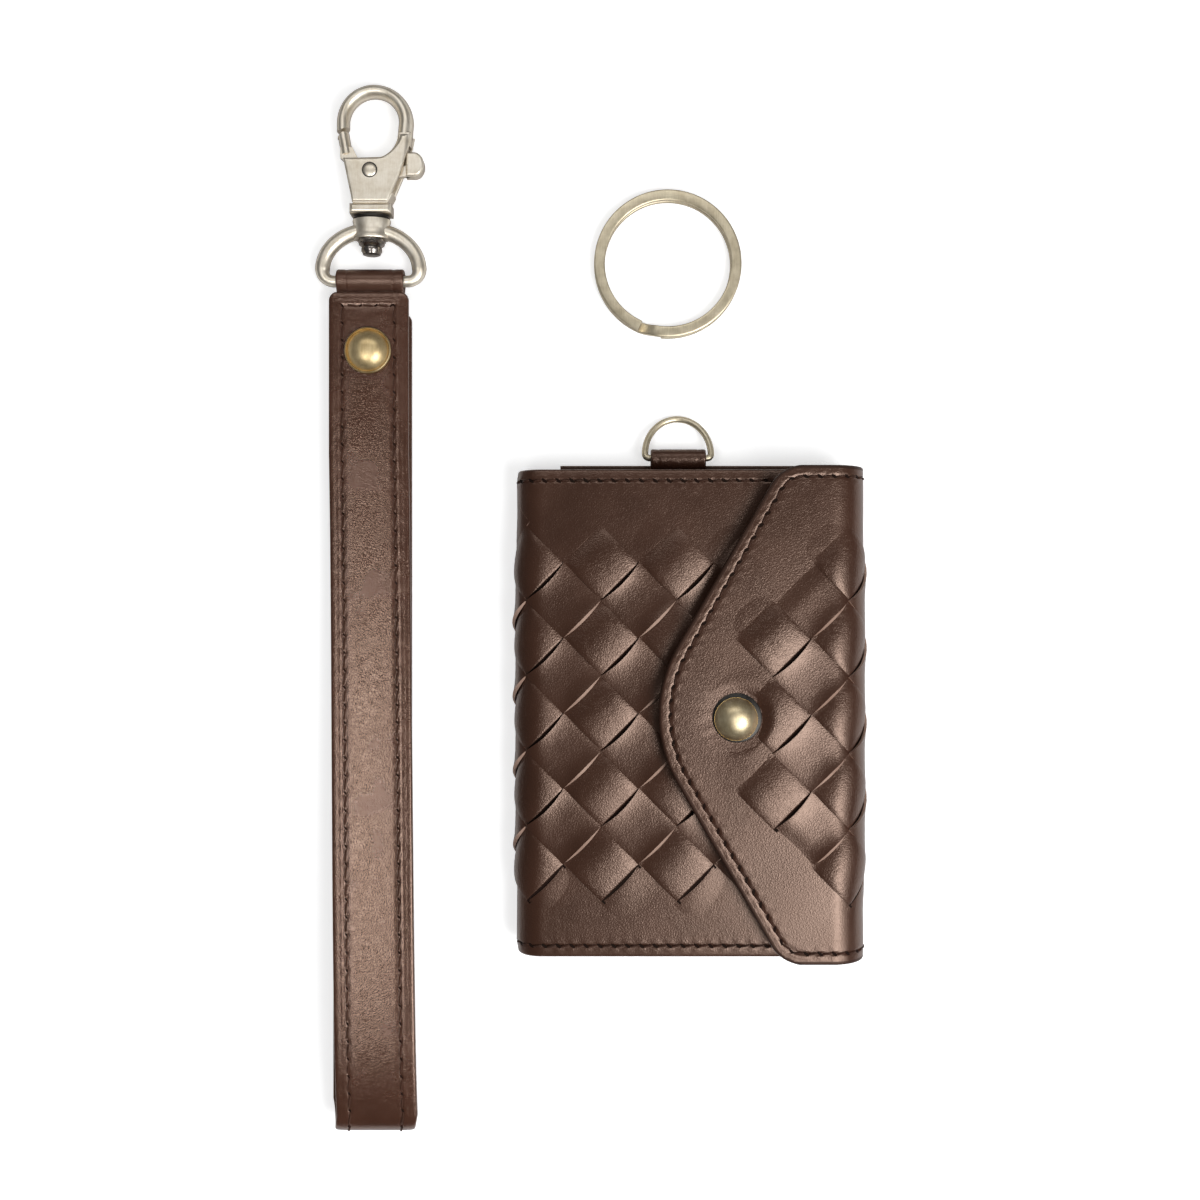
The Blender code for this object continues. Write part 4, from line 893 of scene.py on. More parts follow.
def strip_height(u, v, wobble):
    """A pillow: a parabola in u, higher where it dives at the lower right, round at its sides."""
    crown = STRIP_CROWN * wobble
    falls = np.where(u < 0, crown - STRIP_LOW_END, crown - STRIP_HIGH_END)
    body = crown - falls * u * u - STRIP_FALL * v * v - STRIP_SIDE_FALL * np.abs(v) ** 8
    return np.maximum(body * smooth(-u, -1.05, -0.985), STRIP_LEAST)


def band_height(u, v, wobble, lips, sides, kind):
    """A dish between two lips, fading to nothing where no other square lies beside it.

    A patch is the part of a dish beside one lip, and it fades out away from that lip.
    """
    bowl = 1 - v * v
    low, high = lips[:, 0, None, None], lips[:, 1, None, None]
    lift = LIP_RISE * wobble * high * np.maximum(u, 0) ** 3.2 * bowl
    lift = lift + PULLED_RISE * wobble * low * np.maximum(-u, 0) ** 2.2 * (1 - 0.5 * v * v)
    fade = np.where(low < 0.5, smooth(u, -1, -0.1), 1) * np.where(high < 0.5, smooth(-u, -1, -0.1), 1)
    left, right = sides[:, 0, None, None], sides[:, 1, None, None]
    fade = fade * np.where((v < 0) & (left < 0.5), smooth(v, -1, -0.2), 1)
    fade = fade * np.where((v > 0) & (right < 0.5), smooth(-v, -1, -0.2), 1)
    whole = BAND_LEVEL * fade * (1 - 0.3 * v ** 6) + lift * np.sqrt(fade) - SUNK * (1 - fade)
    near = smooth(np.where(kind == HIGH_PATCH, u, -u), 1 - PATCH_LONG, 1.0)
    rise = np.where(kind == HIGH_PATCH, HIGH_PATCH_RISE, LOW_PATCH_RISE)
    patch = rise * near * bowl ** 1.2 - SUNK
    return np.where((kind == HIGH_PATCH) | (kind == LOW_PATCH), patch, whole)


def weave_squares(centres, kinds, lips, sides, wobble):
    """Top and bottom grids of every square, flat, as arrays of shape (square, u, v, 3).

    u runs down to the right along the strap and v up to the right along the slit, from -1 to 1.
    A lip at the lower right stands over its neighbour and shows a slanted cut edge. The edge at
    the upper left is drawn back in a curve, which leaves the slit open like a lens.
    """
    along = np.stack([ALONG[kind] for kind in kinds])[:, :, None]
    u, v = np.broadcast_arrays(along, ACROSS[None, None, :])
    kind, wobble = kinds[:, None, None], wobble[:, None, None]
    is_strip = kind == STRIP
    bowl = 1 - v * v
    low, high = lips[:, 0, None, None], lips[:, 1, None, None]
    drawn = SLIT_OPEN * low * bowl * np.maximum(-u, 0) ** 3
    u_place = np.where(is_strip, u, u + drawn)
    v_place = v * np.where(is_strip, 0.985, np.where(kind == BAND, 1.02, 1.18))
    top = np.where(is_strip, strip_height(u, v, wobble), band_height(u, v, wobble, lips, sides, kind))
    slant = CUT_SLANT * high * bowl * np.maximum(u, 0) ** 8 / HALF_SIDE
    bottom = np.where(is_strip, -STRIP_BOTTOM, top - BAND_THICK)
    grids = []
    for shift, level in ((0, top), (np.where(is_strip, 0, slant), bottom)):
        s = centres[:, 0, None, None] + (u_place + shift + v_place) * HALF / 2
        y = centres[:, 1, None, None] + (v_place - u_place - shift) * HALF / 2
        near = smooth(np.hypot(s - SNAP[0], y - SNAP[1]), SNAP_CLEAR, SNAP_FADE)
        grids.append(np.stack([s, y, level * near - SNAP_SUNK * (1 - near)], -1))
    return grids


print("strap square's crown: %.2f mm" % (strip_height(np.zeros(1), np.zeros(1), 1.0)[0] / MM))

# %% [markdown]
# ## Where the squares lie
# The squares form a lattice of odd rows, where the strap shows, and even rows, where the panel
# shows, each half a pitch further on. Beside a strap with no neighbour the panel still rises a
# little at the slit, so a patch is added there. The squares keep one spacing all the way round,
# and the flat drawing is cut off at the fold's seam before it is bent.

# %% Lattice of squares
WEAVE_ROWS, WEAVE_COLUMNS = range(1, 10), range(-12, 12)
WOBBLE = 0.13
CUT_SLIVER = 0.001 * MM
SLIT_SHADE_START = 16


def lattice(first_s, low_s, high_s, keep):
    """Centres of the squares, by row and by half steps of the pitch from the first one."""
    found = {}
    for row in WEAVE_ROWS:
        shift = 0 if row % 2 else HALF
        for column in WEAVE_COLUMNS:
            s = first_s + column * PITCH + shift
            if low_s - HALF < s < high_s + HALF and keep(s, row):
                found[(row, round((s - first_s) / HALF))] = s
    return found


def square_kinds(found):
    """Every square's place in the lattice, kind, lips and neighbours; patches by lone straps."""
    listed = []

    def is_strip(row, step):
        """Whether a square of an odd row, where the strap shows, lies at this place."""
        return row % 2 == 1 and (row, step) in found

    for (row, step), s in found.items():
        lips = (is_strip(row - 1, step - 1), is_strip(row + 1, step + 1))
        sides = (is_strip(row + 1, step - 1), is_strip(row - 1, step + 1))
        listed.append((row, s, STRIP if row % 2 else BAND, lips, sides))
        if row % 2 and (row - 1, step - 1) not in found:
            listed.append((row - 1, s - HALF, HIGH_PATCH, (False, True), (True, True)))
        if row % 2 and (row + 1, step + 1) not in found:
            listed.append((row + 1, s + HALF, LOW_PATCH, (True, False), (True, True)))
    return listed


def cut_flat(mesh, low_s, high_s):
    """Cut the flat drawing at both seams and close the cuts."""
    builder = bmesh.new()
    builder.from_mesh(mesh)
    for place, outward in ((low_s, -1), (high_s, 1)):
        everything = builder.verts[:] + builder.edges[:] + builder.faces[:]
        cut = bmesh.ops.bisect_plane(builder, geom=everything, plane_co=(place, 0, 0),
                                     plane_no=(outward, 0, 0), clear_outer=True)
        open_edges = [item for item in cut["geom_cut"] if isinstance(item, bmesh.types.BMEdge)]
        bmesh.ops.holes_fill(builder, edges=open_edges, sides=0)
    bmesh.ops.dissolve_degenerate(builder, edges=builder.edges, dist=CUT_SLIVER)
    builder.to_mesh(mesh)
    builder.free()


def square_finishes(kinds, quads, walls):
    """Finish of every face: 0 strap, 1 panel, 2 raw cut edge, 3 painted shade on the strap inside a slit."""
    rows, columns = len(ALONG[STRIP]), len(ACROSS)
    is_strip = np.repeat(kinds == STRIP, len(quads) // len(kinds))
    place_u = np.tile(np.repeat(np.arange(rows), columns), 2 * len(kinds))
    # Painted shade: the strap's faces from this row on lie inside the slit and take the near-black finish 3.
    deep = is_strip & (place_u[quads].min(1) >= SLIT_SHADE_START)
    finish = np.where(is_strip, 0, np.where(walls == 1, 2, 1))
    return np.where(deep, 3, finish)


def bend_mesh(mesh, table):
    """Bend a flat mesh by a cross-section table, all vertices at once."""
    flat = np.zeros(len(mesh.vertices) * 3)
    mesh.vertices.foreach_get("co", flat)
    s, y, h = flat.reshape(-1, 3).T
    mesh.vertices.foreach_set("co", bend(table, s, y, h).ravel())
    mesh.update()


print("squares of a row lie %.2f mm apart" % (PITCH / MM))

# %% Woven squares
WEAVE_EDGE_INSET = 3.2 * MM
FLAP_WEAVE_LOW = -1 * MM
FLAP_WEAVE_START = 35.5 * MM
FLAP_STAIR, STAIR_PLAY = 7.6 * MM, 0.6 * MM
# The fourth look is painted shade: near black for the strap where it lies inside a slit.
WEAVE_LOOKS = [STRIP_LEATHER, SMOOTH_LEATHER, RAW_EDGE, HOLE_AND_SLIT_SHADE]
whole_pitches = round((flap_seam - shell_seam - FLAP_WEAVE_START) / PITCH)
FLAP_FIRST_S = FIRST_S - shell_seam + flap_seam - whole_pitches * PITCH


def weave(name, table, first_s, keep, body, low_s, high_s, seam):
    """Build the squares flat, cut them at the seams, bend them and make one piece of them."""
    listed = square_kinds(lattice(first_s, low_s, high_s, keep))
    rows, places, kinds, lips, sides = [np.array(each) for each in zip(*listed)]
    centres = np.stack([places, WEAVE_TOP - rows * HALF], -1)
    number = np.round((places - seam) / HALF)
    wobble = 1 + WOBBLE * np.sin(12.9 * rows + 7.7 * number)
    top, bottom = weave_squares(centres, kinds, lips.astype(float), sides.astype(float), wobble)
    points, quads, walls = join_shapes([slab(one, other) for one, other in zip(top, bottom)])
    mesh = array_mesh(name, points, quads, square_finishes(kinds, quads, walls))
    cut_flat(mesh, low_s, high_s)
    bend_mesh(mesh, table)
    dress(name, mesh, WEAVE_LOOKS, body, weld=False, sharp=38)


def everywhere(s, row):
    """Keep every square."""
    return True


def on_flap(s, row):
    """Keep the squares right of the snap, stepping away from the tip like stairs."""
    height = abs(WEAVE_TOP - row * HALF)
    return s - HALF > FLAP_STAIR + max(0, height - PITCH) - STAIR_PLAY


weave("woven_squares", SHELL, FIRST_S, everywhere, SHELL_BLEND, shell_seam,
      COVER_EDGE - WEAVE_EDGE_INSET, shell_seam)
weave("woven_flap_squares", FLAP, FLAP_FIRST_S, on_flap, FLAP_BLEND, FLAP_WEAVE_LOW, flap_seam,
      flap_seam)
print("first strap square on the flap: %.2f mm" % (FLAP_FIRST_S / MM))

# %% [markdown]
# ## Stitches
# A saddle stitch shows short threads that dive into slanted needle holes. A dashed line in the
# material would lie flat in the channel. Here one thread, a thin rod that is fat in its middle,
# and one hole, a slanted disc coloured near black as painted shade of the hole, are copied
# along a line on the flat drawing and bent with the leather. There are hundreds of copies, so
# each has fewer than a hundred faces.

# %% One line of stitches
THREAD_RADIUS, THREAD_RISE, THREAD_DIVE, THREAD_SLANT = 0.24 * MM, 0.16 * MM, 0.2 * MM, 0.16 * MM
THREAD_SHARE, THREAD_SIDES = 0.38, 8
HOLE_LONG, HOLE_SHORT, HOLE_TILT, HOLE_SIDES = 0.72 * MM, 0.3 * MM, math.radians(38), 10
HOLE_BOTTOM, HOLE_TOP = -0.1 * MM, 0.14 * MM
LOOK_AHEAD = 0.3 * MM


def resample(line, pitch):
    """Points and directions every pitch along a line, in whole steps."""
    line = np.asarray(line, float)
    length = line_length(line)
    count = max(int(round(length[-1] / pitch)), 1)
    at = (np.arange(count) + 0.5) * length[-1] / count
    places = [np.stack([np.interp(at + shift, length, line[:, k]) for k in (0, 1)], -1)
              for shift in (0, LOOK_AHEAD, -LOOK_AHEAD)]
    way = places[1] - places[2]
    return places[0], way / np.linalg.norm(way, axis=1, keepdims=True), length[-1] / count


def stitches(line, mapped, pitch=STITCH_PITCH, floor=-CHANNEL_DEPTH, thread=THREAD_RADIUS, hole=1.0):
    """Threads and needle holes along a flat line; mapped bends flat (s, y, h) into place.

    A thread is a thin rod whose middle stands up and whose ends dive. A hole is a slanted disc
    in the channel between two threads, coloured near black as painted shade.
    """
    points, way, step = resample(line, pitch)
    side = np.stack([-way[:, 1], way[:, 0]], -1)
    along = np.linspace(-1, 1, 9)
    around = full_turn(THREAD_SIDES)
    girth = thread * np.sqrt(1 - np.abs(along) ** 5 * 0.95)
    across = (THREAD_SLANT * along)[:, None] + girth[:, None] * np.cos(around)
    middle = floor + THREAD_RISE - THREAD_DIVE * along ** 2
    level = middle[:, None] + girth[:, None] * np.sin(around)
    run = (THREAD_SHARE * step * along)[:, None] * np.ones(THREAD_SIDES)
    flat = (points[:, None, None] + run[..., None] * way[:, None, None]
            + across[..., None] * side[:, None, None])
    shapes = [tunnel(mapped(one[..., 0], one[..., 1], level)) for one in flat]
    around = full_turn(HOLE_SIDES)
    long_way = way * math.cos(HOLE_TILT) - side * math.sin(HOLE_TILT)
    short_way = way * math.sin(HOLE_TILT) + side * math.cos(HOLE_TILT)
    centres = points + way * step / 2
    for centre, one, other in zip(centres, long_way, short_way):
        ring = centre + hole * (np.outer(HOLE_LONG * np.cos(around), one)
                                + np.outer(HOLE_SHORT * np.sin(around), other))
        rings = np.stack([mapped(ring[:, 0], ring[:, 1], np.full(HOLE_SIDES, floor + lift))
                          for lift in (HOLE_BOTTOM, HOLE_TOP)])
        # Painted shade: the hole's disc takes the near-black second finish.
        shapes.append(second_finish(tunnel(rings)))
    return shapes


print("a stitch takes about %.1f mm" % (STITCH_PITCH / MM))

# %% Stitch lines of the wallet


def on_shell(s, y, h):
    """The flat drawing bent by the outer panel's table."""
    return bend(SHELL, s, y, h)


def on_flap_leather(s, y, h):
    """The flat drawing bent by the flap's table."""
    return bend(FLAP, s, y, h)


make_piece("border_stitches", stitches(SHELL_LINE, on_shell), [THREAD, HOLE_AND_SLIT_SHADE],
           SHELL_BLEND)
make_piece("flap_stitches", stitches(FLAP_LINE, on_flap_leather), [THREAD, HOLE_AND_SLIT_SHADE],
           FLAP_BLEND)

# %% [markdown]
# ## Linings and card pockets
# Inside are two matt linings, an insert and two card pockets, with a pressed line along each
# pocket's mouth. The photograph shows only the insert's top edge, and the rest is a guess from
# such goods. A bevelled box would do, but it has no pressed line. These sheets take their place
# from their CAD solids and their rims from the same rim profile as the panels.

# %% Inside sheets
SHEET_STEP, SHEET_ROLL, SHEET_UNDER_ROLL = 2.5 * MM, 0.25 * MM, 0.2 * MM
MOUTH_LINE_DEPTH, MOUTH_LINE_INSET, MOUTH_LINE_WIDTH = 0.12 * MM, 1.6 * MM, 0.25 * MM
FLAP_LINING_INSET = 0.8 * MM


def sheet(name, node_name, look, body, outline=None, mouth=False):
    """A thin sheet in a CAD node's box: its rim rolls down and a line is pressed at the mouth."""
    low_corner, high_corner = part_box(node_name)
    x = spread(low_corner.x, high_corner.x, SHEET_STEP)
    y = spread(low_corner.y, high_corner.y, SHEET_STEP)
    x, y = np.meshgrid(x, y, indexing="ij")
    if outline is not None:
        left = outline(y)
        x = left + (x - low_corner.x) * (high_corner.x - left) / (high_corner.x - low_corner.x)
    reach = np.minimum(np.minimum(x - x[:1], x[-1:] - x),
                       np.minimum(y - low_corner.y, high_corner.y - y))
    thick = high_corner.z - low_corner.z
    top = high_corner.z + rim_height(reach, depth=0, roll=SHEET_ROLL)
    if mouth:
        top = top - MOUTH_LINE_DEPTH * bell(high_corner.y - y - MOUTH_LINE_INSET, MOUTH_LINE_WIDTH)
    under_roll = np.minimum(0.2 * thick, -rim_height(reach, depth=0, roll=SHEET_UNDER_ROLL))
    shape = slab(np.stack([x, y, top], -1), np.stack([x, y, low_corner.z + under_roll], -1))
    return make_piece(name, [shape], [look, PAINTED_EDGE], body, [node_name],
                      weld=False)


def lining_edge(y):
    """The flap's outline for a lining that stays in from it on all sides."""
    stretch = FLAP_TOP_EDGE / (FLAP_TOP_EDGE - FLAP_LINING_INSET)
    return flap_edge(y * stretch) + FLAP_LINING_INSET


sheet("insert_panel", "inner_insert", SMOOTH_LEATHER, "wallet")
sheet("card_pocket_low", "card_pocket_1", LINING, "wallet", mouth=True)
sheet("card_pocket_high", "card_pocket_2", LINING, "wallet", mouth=True)
sheet("cover_lining_sheet", "cover_lining", LINING, "wallet")
sheet("flap_lining_sheet", "flap_lining", LINING, "flap", outline=lining_edge)

# %% [markdown]
# ## Snap fastener
# The cap is a brass dome pressed over a washer that is coloured near black as painted shade of
# the gap under the cap, and it shows as a thin dark ring at its upper right. A squashed ball would
# be too round on top, so the dome is turned from a profile whose height falls with a power of
# the radius. The cup, the stud and the washer inside take their heights from their CAD solids,
# although the closed flap hides them.

# %% Snap cap
DOME_POINTS, ROLL_POINTS = 28, 9
SHANK_RADIUS = 1.1 * MM
CAP_RADIUS, CAP_RIM, CAP_POWER, CAP_LIFT = 4.5 * MM, 0.06 * MM, 2.6, 0.2 * MM
SHADE_RING_SHIFT, SHADE_RING_LIFT = (0.25 * MM, 0.22 * MM), 0.08 * MM


def place_at(x, y, z=0.0):
    """A matrix that only moves."""
    return Matrix.Translation((x, y, z))


def dome_profile(radius, height, base, rim, rise_power):
    """Crown whose height falls with a power of the radius, a rolled rim and a flat underside."""
    share = np.sin(np.linspace(0, np.pi / 2, DOME_POINTS))
    crown_height = base + rim + (height - rim) * (1 - share ** rise_power)
    crown = np.stack([share * (radius - rim), crown_height], -1)
    roll = arc((radius - rim, base + rim), rim, 90, -90, ROLL_POINTS)
    return np.concatenate([crown, roll[1:], [[0, base]]])


def shank(radius, top, bottom, place):
    """A plain turned cylinder between two heights."""
    return turning([(0, top), (radius, top), (radius, bottom), (0, bottom)], 32, place)


cap_low, cap_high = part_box("snap_cap")
cap_place = place_at(*SNAP)
cap_base = FLAP_Z + CAP_LIFT
cap_profile = dome_profile(CAP_RADIUS, cap_high.z - cap_base, cap_base, CAP_RIM, CAP_POWER)
# Painted shade: a washer coloured near black, shifted so it shows as a dark ring at the cap's upper right.
shade_ring_points = [(0, -0.45), (0, 0.0), (4.9, 0.0), (5.1, -0.14), (5.1, -0.45)]
shade_ring_place = place_at(*(SNAP + SHADE_RING_SHIFT))
washer = turning(np.array(shade_ring_points) * MM + [0, FLAP_Z + SHADE_RING_LIFT], 72, shade_ring_place)
cap_shapes = [turning(cap_profile, 96, cap_place), shank(SHANK_RADIUS, cap_base, cap_low.z, cap_place),
              second_finish(washer)]
make_piece("snap_dome", cap_shapes, [SNAP_BRASS, BLACKENED_AND_GAP_SHADE], "flap", ["snap_cap"])

# %% Snap cup, stud and washer
DISC_EASE = 0.12 * MM
CUP_RADIUS, CUP_TOP_RADIUS, CUP_FOOT_RADIUS = 4.6 * MM, 4.35 * MM, 4.4 * MM
CUP_BORE, CUP_BORE_FOOT, CUP_EASE, CUP_TOP_EASE, CUP_DEPTH = 2.8 * MM, 3.0 * MM, 0.2 * MM, 0.25 * MM, 0.7 * MM
STUD_RADIUS, STUD_TOP_RADIUS, STUD_NECK_RADIUS, STUD_EASE = 2.0 * MM, 1.7 * MM, 1.9 * MM, 0.2 * MM
STUD_FOOT, STUD_NECK = 0.3 * MM, 0.35 * MM


def box_turning(node_name, sides=48):
    """A plain turned disc in a CAD node's box with eased edges."""
    lowest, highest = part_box(node_name)
    radius = (highest.x - lowest.x) / 2
    middle = (lowest + highest) / 2
    top, bottom, eased = highest.z, lowest.z, radius - DISC_EASE
    profile = [(0, top), (eased, top), (radius, top - DISC_EASE), (radius, bottom + DISC_EASE),
               (eased, bottom), (0, bottom)]
    return turning(profile, sides, place_at(middle.x, middle.y))


cup_low, cup_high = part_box("snap_socket")
foot, roof = cup_low.z, cup_high.z
cup_profile = [(0, roof), (CUP_TOP_RADIUS, roof), (CUP_RADIUS, roof - CUP_TOP_EASE),
               (CUP_RADIUS, foot + CUP_EASE), (CUP_FOOT_RADIUS, foot), (CUP_BORE_FOOT, foot),
               (CUP_BORE, foot + CUP_EASE), (CUP_BORE, foot + CUP_DEPTH), (0, foot + CUP_DEPTH)]
make_piece("snap_cup", [turning(cup_profile, 64, cap_place)], [STEEL], "flap",
           ["snap_socket"])
stud_low, stud_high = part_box("snap_stud")
stud_profile = [(0, stud_high.z), (STUD_TOP_RADIUS, stud_high.z),
                (STUD_RADIUS, stud_high.z - STUD_EASE), (STUD_NECK_RADIUS, COVER_Z + STUD_NECK),
                (STUD_RADIUS, COVER_Z + STUD_FOOT), (SHANK_RADIUS, COVER_Z + STUD_FOOT),
                (SHANK_RADIUS, stud_low.z), (0, stud_low.z)]
make_piece("snap_pin", [turning(stud_profile, 48, cap_place)], [STEEL], "wallet",
           ["snap_stud"])
make_piece("snap_washer", [box_turning("snap_back")], [STEEL], "wallet",
           ["snap_back"])

# %% [markdown]
# ## Leather bands
# The wrist strap, the keeper of the clasp and the ring's tab are all a flat band of leather that
# is led round a bend. A curve with a bevel profile would do for the bend, but its stitch channel
# would not turn at the ends. So a band is a slab carried along a path in the y-z plane, whose
# table works as the wallet's does, and its ends may be rounded in plan.

# %% Band along a path
BAND_WIDTH_STEP = 1.6 * MM
TRIM_WIDTH, TRIM_CREASE, TRIM_CREASE_SHARE = 1.65 * MM, 0.13 * MM, 0.35
BAND_ROLL_SHARE, BAND_PUCKER_SHARE = 0.4, 0.6


def band_table(points, aside=None):
    """Arc length, place, sideways drift and normal along a path of (y, z) points."""
    points = np.asarray(points, float)
    step = np.gradient(points, axis=0)
    step /= np.linalg.norm(step, axis=1, keepdims=True)
    drift = np.zeros(len(points)) if aside is None else np.asarray(aside)
    return {"t": line_length(points), "y": points[:, 0], "z": points[:, 1], "aside": drift,
            "ny": -step[:, 1], "nz": step[:, 0]}


def on_band(table, middle_x, t, w, h):
    """A point at length t, w across and h off the middle surface."""
    y = np.interp(t, table["t"], table["y"]) + h * np.interp(t, table["t"], table["ny"])
    z = np.interp(t, table["t"], table["z"]) + h * np.interp(t, table["t"], table["nz"])
    x = middle_x + np.interp(t, table["t"], table["aside"]) + w
    return np.stack([x, y, z], -1)


def band_slab(table, middle_x, half, thick, corner, step=1.0 * MM, inset=3.0 * MM, depth=0.12 * MM,
              turned=0.0, pitch=None):
    """Slab along the path; near an end the half width follows a circle of radius corner.

    Both faces have rolled rims. turned is the fall of the band's outer strip, and a fine crease
    marks where that strip starts. With a stitch pitch the leather puckers along both sides.
    """
    end = table["t"][-1]
    t = np.concatenate([RIM_STEPS[:-1], np.linspace(RIM_STEPS[-1], end - RIM_STEPS[-1], int(end / step)),
                        (end - RIM_STEPS[:-1])[::-1]])
    share = spread(-half, half, BAND_WIDTH_STEP) / half
    t, share = np.meshgrid(t, share, indexing="ij")
    near_end = np.minimum(t, end - t)
    cut = np.clip(corner - near_end, 0, corner)
    width = half - corner + np.sqrt(np.maximum(corner * corner - cut * cut, 0))
    w = share * width
    reach = np.minimum(width - np.abs(w), near_end)
    roll = min(RIM_ROLL, thick * BAND_ROLL_SHARE)
    face = thick / 2 + rim_height(reach, inset, depth, roll)
    crease = TRIM_CREASE_SHARE * bell(reach - TRIM_WIDTH, TRIM_CREASE)
    face = face - turned * (np.clip(1 - reach / TRIM_WIDTH, 0, 1) + crease)
    if pitch:
        run = end - 2 * inset
        stitch_step = run / round(run / pitch)
        wave = pucker(width - np.abs(w), t - inset, stitch_step, inset)
        face = face + BAND_PUCKER_SHARE * wave
    return slab(on_band(table, middle_x, t, w, face), on_band(table, middle_x, t, w, -face))


def ease_between(start, end, count=16):
    """An S curve between two (y, z) points that is level at both ends."""
    share = np.linspace(0, 1, count)
    lift = share * share * (3 - 2 * share)
    return np.stack([start[0] + (end[0] - start[0]) * share,
                     start[1] + (end[1] - start[1]) * lift], -1)


print("an S curve has", len(ease_between((0, 0), (1, 1))), "points")

# %% [markdown]
# ## Wrist strap
# Two runs of one long band, closed by a loop at the bottom. The lower run lies on the table. The
# upper run starts low at the loop, rises to a crest and comes down to the rivet, and drifts
# sideways towards the loop, so that a sliver of the lower run shows. Cloth simulation would let
# it sag, but this leather is stiff, and its line is easier to set as arcs and S curves.

# %% Strap path
STRAP_X, STRAP_HALF, STRAP_THICK = -68.5 * MM, 8.55 * MM, 1.8 * MM
STRAP_SKEW, STRAP_STITCH = 2.4 * MM, 3.7 * MM
LOWER_END, SETTLE_Y, UPPER_Z = 86.0 * MM, 55 * MM, 5.6 * MM
LOOP_TOP = 11.2 * MM
FOOT_SLOPE, FOOT_LONG = math.radians(8), 16 * MM
LOWER_POINTS, LOOP_POINTS, UPPER_POINTS, LAST_POINTS = 60, 50, 90, 30
strap_low, strap_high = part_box("strap_band")
lower_z = STRAP_THICK / 2
crest_z = LOOP_TOP - STRAP_THICK / 2
foot_rise = math.tan(FOOT_SLOPE) * FOOT_LONG / 2
bend_radius = (crest_z - foot_rise - lower_z) / (1 + math.cos(FOOT_SLOPE))
bend_y = strap_low.y + STRAP_THICK / 2 + bend_radius
lower_run = level_run(LOWER_END, bend_y, lower_z, LOWER_POINTS)[:-1]
loop_run = arc((bend_y, lower_z + bend_radius), bend_radius, 270, 90 + math.degrees(FOOT_SLOPE),
               LOOP_POINTS)
crest_y = loop_run[-1, 0] + FOOT_LONG
upper_y = np.linspace(loop_run[-1, 0], SETTLE_Y, UPPER_POINTS)[1:]
foot_line = crest_z - foot_rise * np.clip((crest_y - upper_y) / FOOT_LONG, 0, 1) ** 2
fall_line = crest_z + (UPPER_Z - crest_z) * smooth(upper_y, crest_y, SETTLE_Y)
upper_run = np.stack([upper_y, np.minimum(foot_line, fall_line)], -1)
last_run = level_run(SETTLE_Y, strap_high.y, UPPER_Z, LAST_POINTS)[1:]
aside = np.concatenate([np.zeros(len(lower_run)), STRAP_SKEW * np.linspace(0, 1, LOOP_POINTS),
                        STRAP_SKEW * (1 - np.linspace(0, 1, UPPER_POINTS)[1:]),
                        np.zeros(len(last_run))])
STRAP = band_table(np.concatenate([lower_run, loop_run, upper_run, last_run]), aside)
print("strap leather: %.0f mm long, %.1f mm wide" % (STRAP["t"][-1] / MM, 2 * STRAP_HALF / MM))

# %% Strap leather
STRAP_CORNER, STRAP_STEP, STRAP_TURNED = 1.8 * MM, 0.5 * MM, 0.22 * MM
strap_body = band_slab(STRAP, STRAP_X, STRAP_HALF, STRAP_THICK, STRAP_CORNER, STRAP_STEP,
                       turned=STRAP_TURNED, pitch=STRAP_STITCH)
make_piece("strap_leather_band", [strap_body], [STRAP_LEATHER, PAINTED_EDGE],
           "wrist_strap", ["strap_band"], weld=False)

# %% Strap stitches
SEAM_INSET, SEAM_CORNER = 3.0 * MM, 0.6 * MM
SEAM_FLOOR, STRAP_THREAD, STRAP_HOLE = -0.12 * MM, 0.2 * MM, 0.62
SIDE_POINTS, END_POINTS = 400, 40


def on_strap(face):
    """A map from the flat strap to its outer face, 1, or to its inner one, -1."""
    def mapped(t, w, h):
        """The band's point, with the height counted outwards from the chosen face."""
        return on_band(STRAP, STRAP_X, t, w, face * (STRAP_THICK / 2 + h))
    return mapped


strap_end = STRAP["t"][-1]
seam_w = STRAP_HALF - SEAM_INSET
side_run = (SEAM_INSET, strap_end - SEAM_INSET)
end_run = np.linspace(SEAM_CORNER - seam_w, seam_w - SEAM_CORNER, END_POINTS)
strap_lines = [level_run(*side_run, -seam_w, SIDE_POINTS), level_run(*side_run, seam_w, SIDE_POINTS)]
strap_lines += [np.stack([np.full(END_POINTS, t), end_run], -1) for t in side_run]
strap_threads = []
for line in strap_lines:
    for face in (-1, 1):
        strap_threads += stitches(line, on_strap(face), STRAP_STITCH, SEAM_FLOOR, STRAP_THREAD,
                                  STRAP_HOLE)
make_piece("strap_stitches", strap_threads, [THREAD, HOLE_AND_SLIT_SHADE], "wrist_strap")

# %% [markdown]
# ## Keeper and ring tab
# A short strip of leather is led round the bar of the clasp's D loop and riveted between the
# strap's runs, and a smaller one holds the wallet's D ring. A folded plane would crease sharply
# at the bar. So each is a path of two level plies and an arc about the bar, with an S curve
# where the plies come together.

